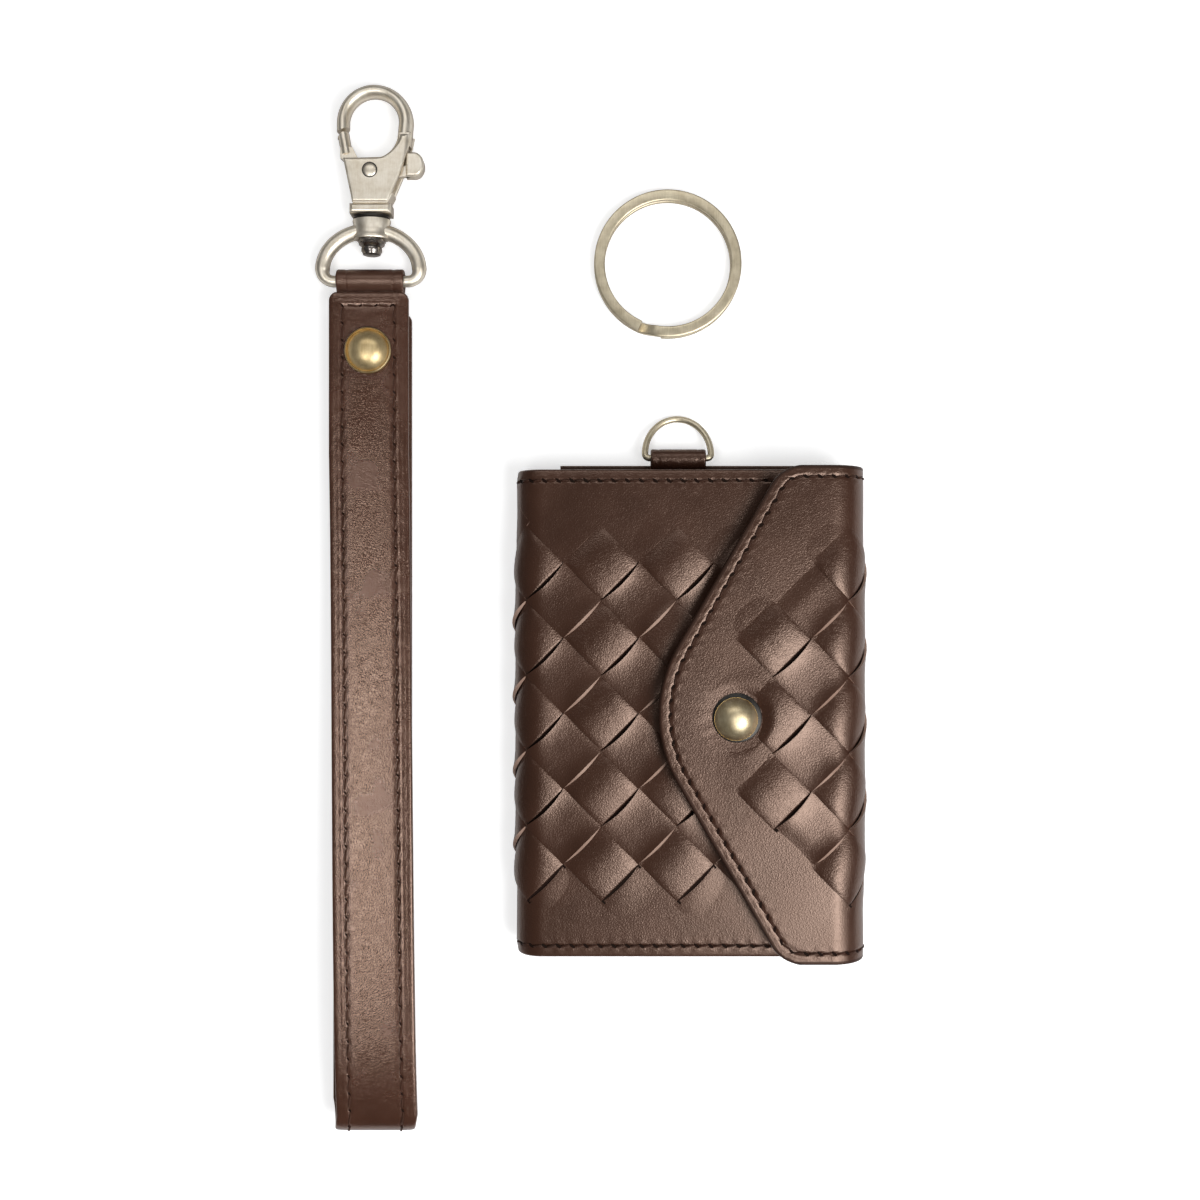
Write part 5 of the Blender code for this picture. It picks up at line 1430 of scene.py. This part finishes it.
# %% Keeper
GAP = 0.3 * MM
BAR_Y, CLASP_Z = 92.5 * MM, 3.25 * MM
LOOP_BAR_RADIUS = 1.25 * MM
KEEPER_THICK, KEEPER_HALF, KEEPER_CORNER = 1.0 * MM, 7.25 * MM, 0.8 * MM
KEEPER_LOW, KEEPER_HIGH, KEEPER_TAIL, KEEPER_CLOSE = 2.6 * MM, 3.9 * MM, 66.0 * MM, 2.8 * MM
PLY_POINTS, WRAP_POINTS = 14, 40
close_y = BAR_Y - KEEPER_CLOSE
wrap = arc((BAR_Y, CLASP_Z), LOOP_BAR_RADIUS + GAP + KEEPER_THICK / 2, -90, 90, WRAP_POINTS)
keeper_points = np.concatenate([level_run(KEEPER_TAIL, close_y, KEEPER_LOW, PLY_POINTS)[:-1],
                                ease_between((close_y, KEEPER_LOW), wrap[0])[:-1], wrap,
                                ease_between(wrap[-1], (close_y, KEEPER_HIGH))[1:],
                                level_run(close_y, KEEPER_TAIL, KEEPER_HIGH, PLY_POINTS)[1:]])
keeper_shape = band_slab(band_table(keeper_points), STRAP_X, KEEPER_HALF, KEEPER_THICK,
                         KEEPER_CORNER, step=0.5 * MM, inset=2.2 * MM, depth=0.08 * MM)
make_piece("keeper_leather", [keeper_shape], [STRIP_LEATHER, PAINTED_EDGE],
           "wrist_strap", ["keeper_tab"], weld=False)

# %% Ring tab
TAB_X, TAB_HALF, TAB_THICK, TAB_CORNER = -2.2 * MM, 5.9 * MM, 0.9 * MM, 0.5 * MM
TAB_BAR_Y, TAB_BAR_Z, RING_WIRE = 54.2 * MM, 4.5 * MM, 0.7 * MM
TAB_ROOT, TAB_PLY_POINTS = 43.0 * MM, 10
tab_turn = RING_WIRE + GAP + TAB_THICK / 2
tab_wrap = arc((TAB_BAR_Y, TAB_BAR_Z), tab_turn, -90, 90, WRAP_POINTS)
tab_low_z = TAB_BAR_Z - tab_turn
tab_close = (TOP - TAB_THICK, tab_low_z + TAB_THICK + GAP)
tab_points = np.concatenate([level_run(TAB_ROOT, TAB_BAR_Y, tab_low_z, TAB_PLY_POINTS)[:-1],
                             tab_wrap, ease_between(tab_wrap[-1], tab_close)[1:],
                             level_run(tab_close[0], TAB_ROOT, tab_close[1], TAB_PLY_POINTS)[1:]])
tab_shape = band_slab(band_table(tab_points), TAB_X, TAB_HALF, TAB_THICK, TAB_CORNER,
                      step=0.4 * MM, inset=1.6 * MM, depth=0.06 * MM)
make_piece("ring_tab_leather", [tab_shape], [STRIP_LEATHER, PAINTED_EDGE],
           "wallet", ["ring_tab"], weld=False)

# %% [markdown]
# ## D ring
# A D ring is bent from one wire: a straight bar, two tight corners and a wide arch. A torus has no
# bar. The path is drawn flat and carries a rod, and it droops from its bar until the arch's top
# rests near the table, because the tab holds the bar higher up.

# %% D ring
RING_HALF, RING_CORNER, RING_RISE = 7.1 * MM, 1.0 * MM, 9.5 * MM
BAR_POINTS, CORNER_POINTS, ARCH_POINTS = 24, 10, 90


def d_path(half_width, corner, rise):
    """A closed D: straight bar at y = 0, two corner arcs and a half ellipse."""
    bar = level_run(half_width - corner, -half_width + corner, 0.0, BAR_POINTS)
    left = arc((-half_width + corner, corner), corner, 270, 180, CORNER_POINTS)
    turn = np.linspace(np.pi, 0, ARCH_POINTS)
    arch = np.stack([half_width * np.cos(turn), corner + (rise - corner) * np.sin(turn)], -1)
    right = left[::-1] * [-1, 1]
    return np.concatenate([bar, left[1:], arch[1:], right[1:-1]])


droop = math.asin((TAB_BAR_Z - RING_WIRE - GAP) / RING_RISE)
flat_d = d_path(RING_HALF, RING_CORNER, RING_RISE)
tilted = np.stack([TAB_X + flat_d[:, 0], TAB_BAR_Y + flat_d[:, 1] * math.cos(droop),
                   TAB_BAR_Z - flat_d[:, 1] * math.sin(droop)], -1)
ring_normal = (0, math.sin(droop), math.cos(droop))
make_piece("wallet_ring", [rod(tilted, RING_WIRE, ring_normal, 20, closed=True)], [RING_BRASS],
           "wallet_ring", ["wallet_d_ring"])

# %% [markdown]
# ## Split ring
# A split ring is a flat wire wound round twice: a level turn, a short ramp and a level turn on
# top, with both ends square. Two rings laid on each other would lack the ramp and the ends, which
# show at the lower left. So one rounded rectangle is carried round twice.

# %% Split ring
KEY_RING_PLACE, RING_OUT, RING_BAND = (-4.3 * MM, 96.7 * MM), 16 * MM, 2.35 * MM
WIRE, TURN_GAP = 1.1 * MM, 0.45 * MM
END_TURN, RAMP, END_GAP = math.radians(246), math.radians(16), math.radians(3)
TURN_POINTS, WIRE_SIDES, SQUARENESS = 330, 24, 5.0


def squared(wave):
    """A sine or cosine raised to 2 over the squareness, with its sign kept."""
    return np.sign(wave) * np.abs(wave) ** (2 / SQUARENESS)


def split_ring_shape():
    """A rounded rectangle carried round twice; its height follows an S curve over the ramp."""
    turn = np.linspace(END_TURN + RAMP + END_GAP, END_TURN + 4 * np.pi, TURN_POINTS)
    share = np.clip((turn - END_TURN - 2 * np.pi) / RAMP, 0, 1)
    level = WIRE / 2 + (WIRE + TURN_GAP) * share * share * (3 - 2 * share)
    around = full_turn(WIRE_SIDES)
    radius = RING_OUT - RING_BAND / 2 + squared(np.cos(around)) * RING_BAND / 2
    rise = squared(np.sin(around)) * WIRE / 2
    rings = np.stack([KEY_RING_PLACE[0] + np.cos(turn)[:, None] * radius,
                      KEY_RING_PLACE[1] + np.sin(turn)[:, None] * radius, level[:, None] + rise], -1)
    return tunnel(rings)


make_piece("split_ring_wire", [split_ring_shape()], [RING_BRASS], "key_ring",
           ["split_ring"])

# %% [markdown]
# ## Rivet
# The rivet's head is a brass dome like the snap's cap, but flatter on top and with a rolled rim
# that stands on the leather. A squashed ball would have no rim, so the same profile makes both,
# with other values.

# %% Rivet
RIVET = (STRAP_X, 76.9 * MM)
RIVET_RADIUS, RIVET_RIM, RIVET_POWER, RIVET_LIFT = 5.0 * MM, 0.5 * MM, 2.8, 0.02 * MM
RIVET_SHANK_RADIUS = 1.2 * MM
rivet_low, rivet_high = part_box("rivet_cap")
rivet_base = UPPER_Z + STRAP_THICK / 2 + RIVET_LIFT
rivet_profile = dome_profile(RIVET_RADIUS, rivet_high.z - rivet_base, rivet_base, RIVET_RIM, RIVET_POWER)
rivet_place = place_at(*RIVET)
rivet_shapes = [turning(rivet_profile, 96, rivet_place),
                shank(RIVET_SHANK_RADIUS, rivet_base, rivet_low.z, rivet_place)]
make_piece("rivet_dome", rivet_shapes, [BRASS], "wrist_strap", ["rivet_cap"])
make_piece("rivet_foot", [box_turning("rivet_back")], [BRASS], "wrist_strap",
           ["rivet_back"])

# %% [markdown]
# ## The clasp's D loop and post
# The D loop is one piece with its collar, and a steel post turns in that collar and carries the
# hook. Plain cylinders would do, but turned profiles show the collar's waist and the post's
# beads. The loop is a thicker rod on the same D path. The collar and the post are turned about
# the clasp's long axis, and the collar and the post's ring are pressed a little flat. That ring
# is near black, partly a dark washer and partly painted shade of the recess under the flange.

# %% D loop and post
PIN = np.array([-68.3, 115.8]) * MM
LOOP_HALF, LOOP_CORNER, LOOP_RISE, LOOP_WIRE = 10.45 * MM, 2.4 * MM, 11.0 * MM, 1.6 * MM
LOOP_BAR_HEIGHT, LOOP_BLEND = 1.2 * MM, 7
COLLAR_OVAL, POST_RING_OVAL = 0.72, 0.75
loop_d = d_path(LOOP_HALF, LOOP_CORNER, LOOP_RISE)
count = len(loop_d)
loop_path = np.stack([STRAP_X + loop_d[:, 0], BAR_Y + loop_d[:, 1], np.full(count, CLASP_Z)], -1)
loop_radius = np.where(loop_d[:, 1] < LOOP_BAR_HEIGHT, LOOP_BAR_RADIUS, LOOP_WIRE)
loop_radius = np.convolve(np.tile(loop_radius, 3), np.ones(LOOP_BLEND) / LOOP_BLEND, "same")
loop_radius = loop_radius[count:2 * count]
turn_to_y = Matrix.Rotation(math.radians(-90), 4, "X")
collar_place = Matrix.Translation((PIN[0], 0, CLASP_Z)) @ turn_to_y
collar_profile = np.array([(3.5, 101.45), (3.85, 101.5), (4.0, 101.75), (3.95, 102.2), (3.7, 102.5),
                           (3.75, 103.8), (4.15, 105.3), (4.1, 105.65), (3.9, 105.75),
                           (1.8, 105.75), (1.8, 101.45)]) * MM
collar = turning(collar_profile, 64, collar_place, oval=COLLAR_OVAL, closed=True)
make_piece("d_loop", [rod(loop_path, loop_radius, (0, 0, 1), 28, closed=True), collar],
           [PALE_BRASS], "swivel_loop", ["clasp_loop"])

post_profile = np.array([(0, 109.5), (1.45, 109.5), (1.45, 101.4), (2.8, 101.4), (3.0, 101.2),
                         (3.0, 100.9), (2.7, 100.6), (2.8, 100.35), (2.3, 100.0), (2.1, 99.8),
                         (2.25, 99.5), (2.25, 98.9), (2.0, 98.6), (1.9, 98.25), (1.5, 98.1),
                         (0, 98.1)]) * MM
ring_profile = np.array([(1.6, 105.8), (3.7, 105.8), (3.95, 106.0), (3.95, 106.4), (3.7, 106.6),
                         (1.6, 106.6)]) * MM
# Partly painted shade: the ring's near-black finish stands for the recess under the flange as well as a dark
# washer.
post_ring = second_finish(turning(ring_profile, 64, collar_place, oval=POST_RING_OVAL, closed=True))
make_piece("post", [turning(post_profile, 48, collar_place), post_ring], [STEEL, BLACKENED_AND_GAP_SHADE],
           "hook", ["swivel_post"])

# %% [markdown]
# ## Cast plates
# The hook's body and the lever are flat castings with softly rounded rims. An extruded outline
# with a Bevel modifier gives one even rim, but the hook's upper rim grows wider towards the arch.
# So a plate is a slab between a left and a right line, and its rims are quarter circles in the
# distance to the outline. Points are given in millimetres about the lever's pin.

# %% Plates about the pin
HOOK_LOW, HOOK_HIGH = CLASP_Z - 2.7 * MM, CLASP_Z + 2.7 * MM
PLATE_ROW_STEP = 0.3 * MM
PLATE_RIM_SHARES = np.array([0, 0.02, 0.08, 0.18, 0.32, 0.5, 0.72, 1.0])
ARM_START, ARM_END = 2.0 * MM, 7.5 * MM
ARM_UNDER_SHARE, RIM_MOST_SHARE, ROOM_SHARE = 0.15, 0.8, 0.45


def about_pin(points):
    """Points in millimetres about the lever's pin, as places in metres."""
    return np.asarray(points, float) * MM + PIN


def plate(left, right, low_z, high_z, bevel, arm=0.0):
    """A cast plate between a left and a right line given as (x, y) about the pin, rising in y.

    Its rims are quarter circles in the distance to the outline: bevel - sqrt(bevel^2 - near^2).
    arm widens that bevel towards the top end, where the plate turns into the round arch.
    """
    left, right = about_pin(left), about_pin(right)
    low_y, high_y = max(left[0, 1], right[0, 1]), min(left[-1, 1], right[-1, 1])
    rim = bevel * PLATE_RIM_SHARES
    rows = np.linspace(low_y, high_y, int((high_y - low_y) / PLATE_ROW_STEP))
    y = np.unique(np.concatenate([low_y + rim, left[:, 1], right[:, 1], high_y - rim, rows]))
    y = y[(y >= low_y) & (y <= high_y)]
    start = np.interp(y, left[:, 1], left[:, 0])[:, None]
    end = np.interp(y, right[:, 1], right[:, 0])[:, None]
    room = np.minimum(rim, (end - start) * ROOM_SHARE)
    middle = start + room[:, -1:] + (end - start - 2 * room[:, -1:]) * np.linspace(0, 1, 12)
    x = np.concatenate([start + room[:, :-1], middle, (end - room[:, :-1])[:, ::-1]], 1)
    y = np.broadcast_to(y[:, None], x.shape)
    outline = np.concatenate([np.stack([start[:, 0], y[:, 0]], -1),
                              np.stack([end[:, 0], y[:, 0]], -1)[::-1]])
    outline = np.concatenate([outline, outline[:1]])
    bevel = bevel + arm * smooth(y, PIN[1] + ARM_START, PIN[1] + ARM_END)
    near = np.clip(bevel - line_distance(outline, x, y), 0, bevel)
    fall = bevel - np.sqrt(np.maximum(bevel * bevel - near * near, 0))
    low_fall = np.minimum(fall, ARM_UNDER_SHARE * (high_z - low_z)) if arm else fall
    high_fall = np.minimum(fall, RIM_MOST_SHARE * (high_z - low_z))
    return slab(np.stack([x, y, high_z - high_fall], -1), np.stack([x, y, low_z + low_fall], -1))


print("the hook's casting is %.1f mm thick" % ((HOOK_HIGH - HOOK_LOW) / MM))

# %% [markdown]
# ## Hook
# The hook is one casting: two plates with the lever's slot between them, a flange at the foot and
# a round arch that ends in a tip. It could be cut from a block with booleans, which leave long
# thin faces along the slot. Here its plates overlap inside the metal, where no one sees them,
# and the arch is a rod whose wire gets thinner towards the tip. The tip is cut on an arc about
# the pin, so that the lever's gate can swing past it.

# %% Hook
INNER_CENTRE, INNER_WIDE, INNER_HIGH = (1.2, 9.2), 4.9, 6.5
SLOT_FLOOR, SLOT_ROOF = 0.9 * MM, 1.1 * MM
ARCH_CENTRE, ARCH_WIDE, ARCH_HIGH = (0.7, 10.7), 6.8, 6.9
TIP_X_ABOUT_PIN = -6.1
SPLIT, SPLIT_PLAY, SPLIT_LOWEST, SPLIT_RIGHT = 10.4, 0.4, 3.0, -3.5
sweep = np.radians(np.linspace(272, 352, 16))
inner_curve = np.stack([INNER_CENTRE[0] + INNER_WIDE * np.cos(sweep),
                        INNER_CENTRE[1] + INNER_HIGH * np.sin(sweep)], -1)
body_left = np.concatenate([[(-3.85, -6.7), (-5.75, 2.55), (-5.7, 2.68)],
                            inner_curve[inner_curve[:, 1] > 2.7]])
body_right = [(3.85, -6.7), (6.75, 0.2), (8.4, 5.5), (9.0, inner_curve[-1, 1])]
slot_low, slot_high = HOOK_LOW + SLOT_FLOOR, HOOK_HIGH - SLOT_ROOF
core_low, core_high = HOOK_LOW + 0.2 * MM, HOOK_HIGH - 0.3 * MM
hook_shapes = [plate(body_left, body_right, HOOK_LOW, slot_low, 0.35 * MM),
               plate(body_left, body_right, slot_high, HOOK_HIGH, 0.5 * MM, arm=0.95 * MM),
               plate([(-3.7, -7.0), (-4.1, -4.8)], [(3.7, -7.0), (4.9, -4.8)], core_low, core_high,
                     0.15 * MM),
               plate([(4.9, 3.3), (5.9, 6.0), (6.2, 8.3)], [(7.3, 3.3), (8.2, 6.0), (8.7, 8.3)],
                     core_low, core_high, 0.3 * MM),
               plate([(-4.45, -9.15), (-4.45, -7.0)], [(4.45, -9.15), (4.45, -7.0)], HOOK_LOW,
                     HOOK_HIGH, 0.8 * MM)]
print("the lever's slot is %.1f mm high" % ((slot_high - slot_low) / MM))

# %% Hook's arch
arch_turn = np.linspace(0, np.pi, 60)
arch = np.stack([ARCH_CENTRE[0] + ARCH_WIDE * np.cos(arch_turn),
                 ARCH_CENTRE[1] + ARCH_HIGH * np.sin(arch_turn)], -1)
arch_foot = np.stack([np.linspace(7.0, ARCH_CENTRE[0] + ARCH_WIDE, 8)[:-1],
                      np.linspace(5.6, ARCH_CENTRE[1], 8)[:-1]], -1)
tip_end = math.sqrt((SPLIT + SPLIT_PLAY) ** 2 - TIP_X_ABOUT_PIN ** 2)
tip = np.stack([np.full(6, TIP_X_ABOUT_PIN), np.linspace(ARCH_CENTRE[1], tip_end, 7)[1:]], -1)
hook_line = about_pin(np.concatenate([arch_foot, arch, tip]))
hook_path = np.column_stack([hook_line, np.full(len(hook_line), CLASP_Z)])
hook_radius = np.interp(np.arange(len(hook_path)), [0, 7, 30, len(hook_path) - 1],
                        [1.62, 1.6, 1.4, 1.38]) * MM


def slanted_end(shape, radius, side):
    """Move a rod's points onto the arc about the pin where the gate meets the tip."""
    points, quads, kinds = shape
    about = points[:, :2] - PIN
    reach = np.linalg.norm(about, axis=1)
    left = (about[:, 0] < SPLIT_RIGHT * MM) & (about[:, 1] > SPLIT_LOWEST * MM)
    over = left & (side * (reach - radius * MM) > 0)
    points[over, 1] = PIN[1] + np.sqrt((radius * MM) ** 2 - about[over, 0] ** 2)
    return points, quads, kinds


hook_arch = rod(hook_path, hook_radius, (0, 0, 1), 32, flat=1.5, round_ends=False)
hook_shapes.append(slanted_end(hook_arch, SPLIT + SPLIT_PLAY, -1))
make_piece("hook_casting", hook_shapes, [PALE_BRASS], "hook", ["clasp_hook"],
           sharp=50)

# %% [markdown]
# ## Lever
# The lever turns on the pin inside the hook's slot. It has a hub round the pin, an arm to the
# thumb pad at the right and an arm to the gate at the left, which closes the hook. One plate
# can't have all these outlines, as it has a single left and a single right line, so each arm is
# a thin plate of its own. The pad and the gate, which show outside the slot, are thicker.
#
# One fault is known and left here: the hub's outline meets itself at both ends, where the
# distance has no value, so the hub's faces are dropped. The CAD lever has its hub.

# %% Lever
HUB_RADIUS, LEVER_THICK, LEVER_EASE = 2.8, 1.3 * MM, 0.1 * MM
PAD_CENTRE, PAD_WIDE, PAD_HIGH, PAD_HALF_DEPTH, PAD_BEVEL = (9.3, 1.6), 2.1, 2.6, 1.7 * MM, 0.6 * MM
GATE_LEAN, GATE_FOOT, GATE_POINTS, GATE_RADIUS = math.tan(math.radians(10)), 3.9, 14, 1.25 * MM
lever_high = slot_high - GAP
lever_low = lever_high - LEVER_THICK
hub_right = arc((0, 0), HUB_RADIUS, -90, 90, 24)
pad_turn = np.radians(np.linspace(-90, 90, 18))
pad_right = np.stack([PAD_CENTRE[0] + PAD_WIDE * np.cos(pad_turn),
                      PAD_CENTRE[1] + PAD_HIGH * np.sin(pad_turn)], -1)
gate_y = np.linspace(GATE_FOOT, math.sqrt(SPLIT ** 2 - TIP_X_ABOUT_PIN ** 2), GATE_POINTS)
gate_x = TIP_X_ABOUT_PIN + (gate_y[-1] - gate_y) * GATE_LEAN
gate_path = np.column_stack([about_pin(np.stack([gate_x, gate_y], -1)), np.full(GATE_POINTS, CLASP_Z)])
gate = rod(gate_path, GATE_RADIUS, (0, 0, 1), 28, flat=1.4, round_ends=False)
lever_shapes = [plate(hub_right * [-1, 1], hub_right, lever_low, lever_high, LEVER_EASE),
                plate([(0, -1.0), (0, 1.3)], [(8.2, -1.0), (8.2, 1.3)], lever_low, lever_high,
                      LEVER_EASE),
                plate([(-3.0, -0.6), (-6.6, 3.0), (-6.6, 5.4)],
                      [(1.0, -0.6), (-2.6, 2.6), (-4.0, 5.4)], lever_low, lever_high, LEVER_EASE),
                plate([(7.5, -1.0), (7.5, 4.2)], pad_right, CLASP_Z - PAD_HALF_DEPTH,
                      CLASP_Z + PAD_HALF_DEPTH, PAD_BEVEL), slanted_end(gate, SPLIT, 1)]
make_piece("lever", lever_shapes, [PALE_BRASS], "lever", ["clasp_lever"], sharp=50)

# %% [markdown]
# ## Pin and spring
# The pin is a turned rivet whose head sits in a seat on the hook's face, a thin ring coloured
# near black as painted shade of the recess round the head. The spring is one turn of thin wire
# about the pin, inside the slot, and its form is a guess. A boolean seat in the hook would be
# closer to the real one, but at this size the thin ring of painted shade shows the same line.

# %% Pin and spring
COIL_RADIUS, COIL_WIRE, COIL_RISE, COIL_LIFT = 2.4 * MM, 0.15 * MM, 0.75 * MM, 0.45 * MM
pin_profile = np.array([(0, 0.30), (0.5, 0.28), (1.0, 0.20), (1.35, 0.08), (1.5, -0.05),
                        (1.5, -5.2), (1.2, -5.4), (0, -5.4)]) * MM + [0, HOOK_HIGH]
seat_profile = np.array([(1.3, -0.3), (1.3, 0.015), (1.66, 0.015), (1.66, -0.3)]) * MM + [0, HOOK_HIGH]
# Painted shade: the seat is a thin near-black ring for the recess round the pin's head.
seat = second_finish(turning(seat_profile, 48, place_at(*PIN), closed=True))
make_piece("pin_head", [turning(pin_profile, 48, place_at(*PIN)), seat], [PALE_BRASS, BLACKENED_AND_GAP_SHADE],
           "hook", ["lever_pin"])
coil = np.linspace(0, 2 * np.pi, 60)
spring_z = slot_low + COIL_LIFT + COIL_RISE * coil / (2 * np.pi)
spring_path = np.column_stack([PIN[0] + COIL_RADIUS * np.cos(coil),
                               PIN[1] + COIL_RADIUS * np.sin(coil), spring_z])
make_piece("spring", [rod(spring_path, COIL_WIRE, (0, 0, 1), 10)], [STEEL], "hook",
           ["lever_spring"])

# %% [markdown]
# ## Table
# The paper under the pieces is pure white in the photograph, with soft shadows. More light would
# bleach the leather, so the table's own colour stays a plain light grey and Light Path adds a
# white glow that only the camera sees. The glow is weaker near the pieces, where the shadows
# are, and grows with the distance, so that the far end of the table is as white as the sky.

# %% Table
TABLE_HALF, TABLE_DROP = 4.0, 0.02 * MM
PAPER, PAPER_ROUGHNESS = (0.8, 0.8, 0.8, 1), 0.9
GLOW_REACH, GLOW = (0.16, 0.7), (0.50, 1.0)
corners = [(-TABLE_HALF, -TABLE_HALF, 0), (TABLE_HALF, -TABLE_HALF, 0), (TABLE_HALF, TABLE_HALF, 0),
           (-TABLE_HALF, TABLE_HALF, 0)]
table_mesh = bpy.data.meshes.new("table")
table_mesh.from_pydata(corners, [], [(0, 1, 2, 3)])
table = bpy.data.objects.new("table", table_mesh)
table.location = (0, 0, -TABLE_DROP)
bpy.context.scene.collection.objects.link(table)
white, tree, shader, place = start_material("white_table")
shader.inputs["Base Color"].default_value = PAPER
shader.inputs["Roughness"].default_value = PAPER_ROUGHNESS
shader.inputs["Specular IOR Level"].default_value = 0.0
shader.inputs["Emission Color"].default_value = (1, 1, 1, 1)
distance = node(tree, "ShaderNodeVectorMath", operation="LENGTH")
tree.links.new(place, distance.inputs[0])
glow = node(tree, "ShaderNodeMapRange")
glow.inputs["From Min"].default_value, glow.inputs["From Max"].default_value = GLOW_REACH
glow.inputs["To Min"].default_value, glow.inputs["To Max"].default_value = GLOW
tree.links.new(distance.outputs["Value"], glow.inputs["Value"])
rays = node(tree, "ShaderNodeLightPath")
tree.links.new(maths(tree, "MULTIPLY", rays.outputs["Is Camera Ray"], glow.outputs["Result"]),
               shader.inputs["Emission Strength"])
table_mesh.materials.append(white)
print("table: %.0f m wide" % (2 * TABLE_HALF))

# %% [markdown]
# ## Lamps
# Dark leather shows the lamps more than its own colour, so each lamp is placed where the mirror
# image of the bright part of the photograph lies. Seen from the camera, a flat piece on the
# table mirrors a spot 400 mm up that lies further out than the piece does. Two soft boxes at the
# lower right give the wallet's shine and the shadows at the left, and a strip at the top lights
# the metal. A picture of a studio could light the scene too, but it needs a file. A narrow box
# makes the shine along the strap. By light linking it lights only the table and what shows of
# the strap and its clasp, as if a card were held beside the wallet, whose left side is dark in
# the photograph.

# %% Lamps


def softbox(name, place, aim, width, height, power):
    """An area lamp whose width stays along the table's X: its axes are X made square to its aim."""
    lamp_data = bpy.data.lights.new(name, "AREA")
    lamp_data.shape = "RECTANGLE"
    lamp_data.size, lamp_data.size_y, lamp_data.energy = width, height, power
    lamp = bpy.data.objects.new(name, lamp_data)
    lamp.location = place
    back = (Vector(place) - Vector(aim)).normalized()
    across = (Vector((1, 0, 0)) - back * back.x).normalized()
    lamp.rotation_euler = Matrix((across, back.cross(across), back)).transposed().to_euler()
    bpy.context.scene.collection.objects.link(lamp)
    print("%s: %.2f W over %.3f by %.3f m" % (name, power, width, height))
    return lamp


softbox("wide_softbox", (0.28, -0.19, 0.40), (0.12, -0.10, 0), 0.46, 0.36, 0.90)
softbox("right_softbox", (0.195, -0.14, 0.395), (0.06, -0.04, 0), 0.19, 0.28, 1.15)
strap_lamp = softbox("left_softbox", (-0.158, -0.065, 0.40), (-0.08, -0.065, 0), 0.075, 0.27, 0.50)
softbox("top_strip", (-0.06, 0.34, 0.40), (-0.05, 0.05, 0), 0.46, 0.10, 0.38)
strap_side = bpy.data.collections.new("strap_side")
for name in ("strap_leather_band", "strap_stitches", "keeper_leather", "rivet_dome", "d_loop", "post",
             "hook_casting", "lever", "pin_head", "table"):
    strap_side.objects.link(bpy.data.objects[name])
strap_lamp.light_linking.receiver_collection = strap_side

# %% [markdown]
# ## Sky
# A weak white sky fills the shadows. It looks pure white to the camera alone, so the background
# is white in every view while the pieces get only the weak light. A sky that is bright for all
# rays would wash out the shadows. Metal mirrors the weak light and not the white. Adding Is
# Glossy Ray would let it mirror the white as well.

# %% Sky
SKY_LEVEL = 0.12
world = bpy.data.worlds.new("studio")
bpy.context.scene.world = world
world.use_nodes = True
sky = world.node_tree
background = sky.nodes["Background"]
background.inputs["Color"].default_value = (1, 1, 1, 1)
sky_rays = node(sky, "ShaderNodeLightPath")
lift = maths(sky, "MULTIPLY", sky_rays.outputs["Is Camera Ray"], 1 - SKY_LEVEL)
sky.links.new(maths(sky, "ADD", lift, SKY_LEVEL), background.inputs["Strength"])
bpy.context.scene.view_settings.view_transform = "Standard"
print("the sky lights the pieces with %.2f of white" % SKY_LEVEL)
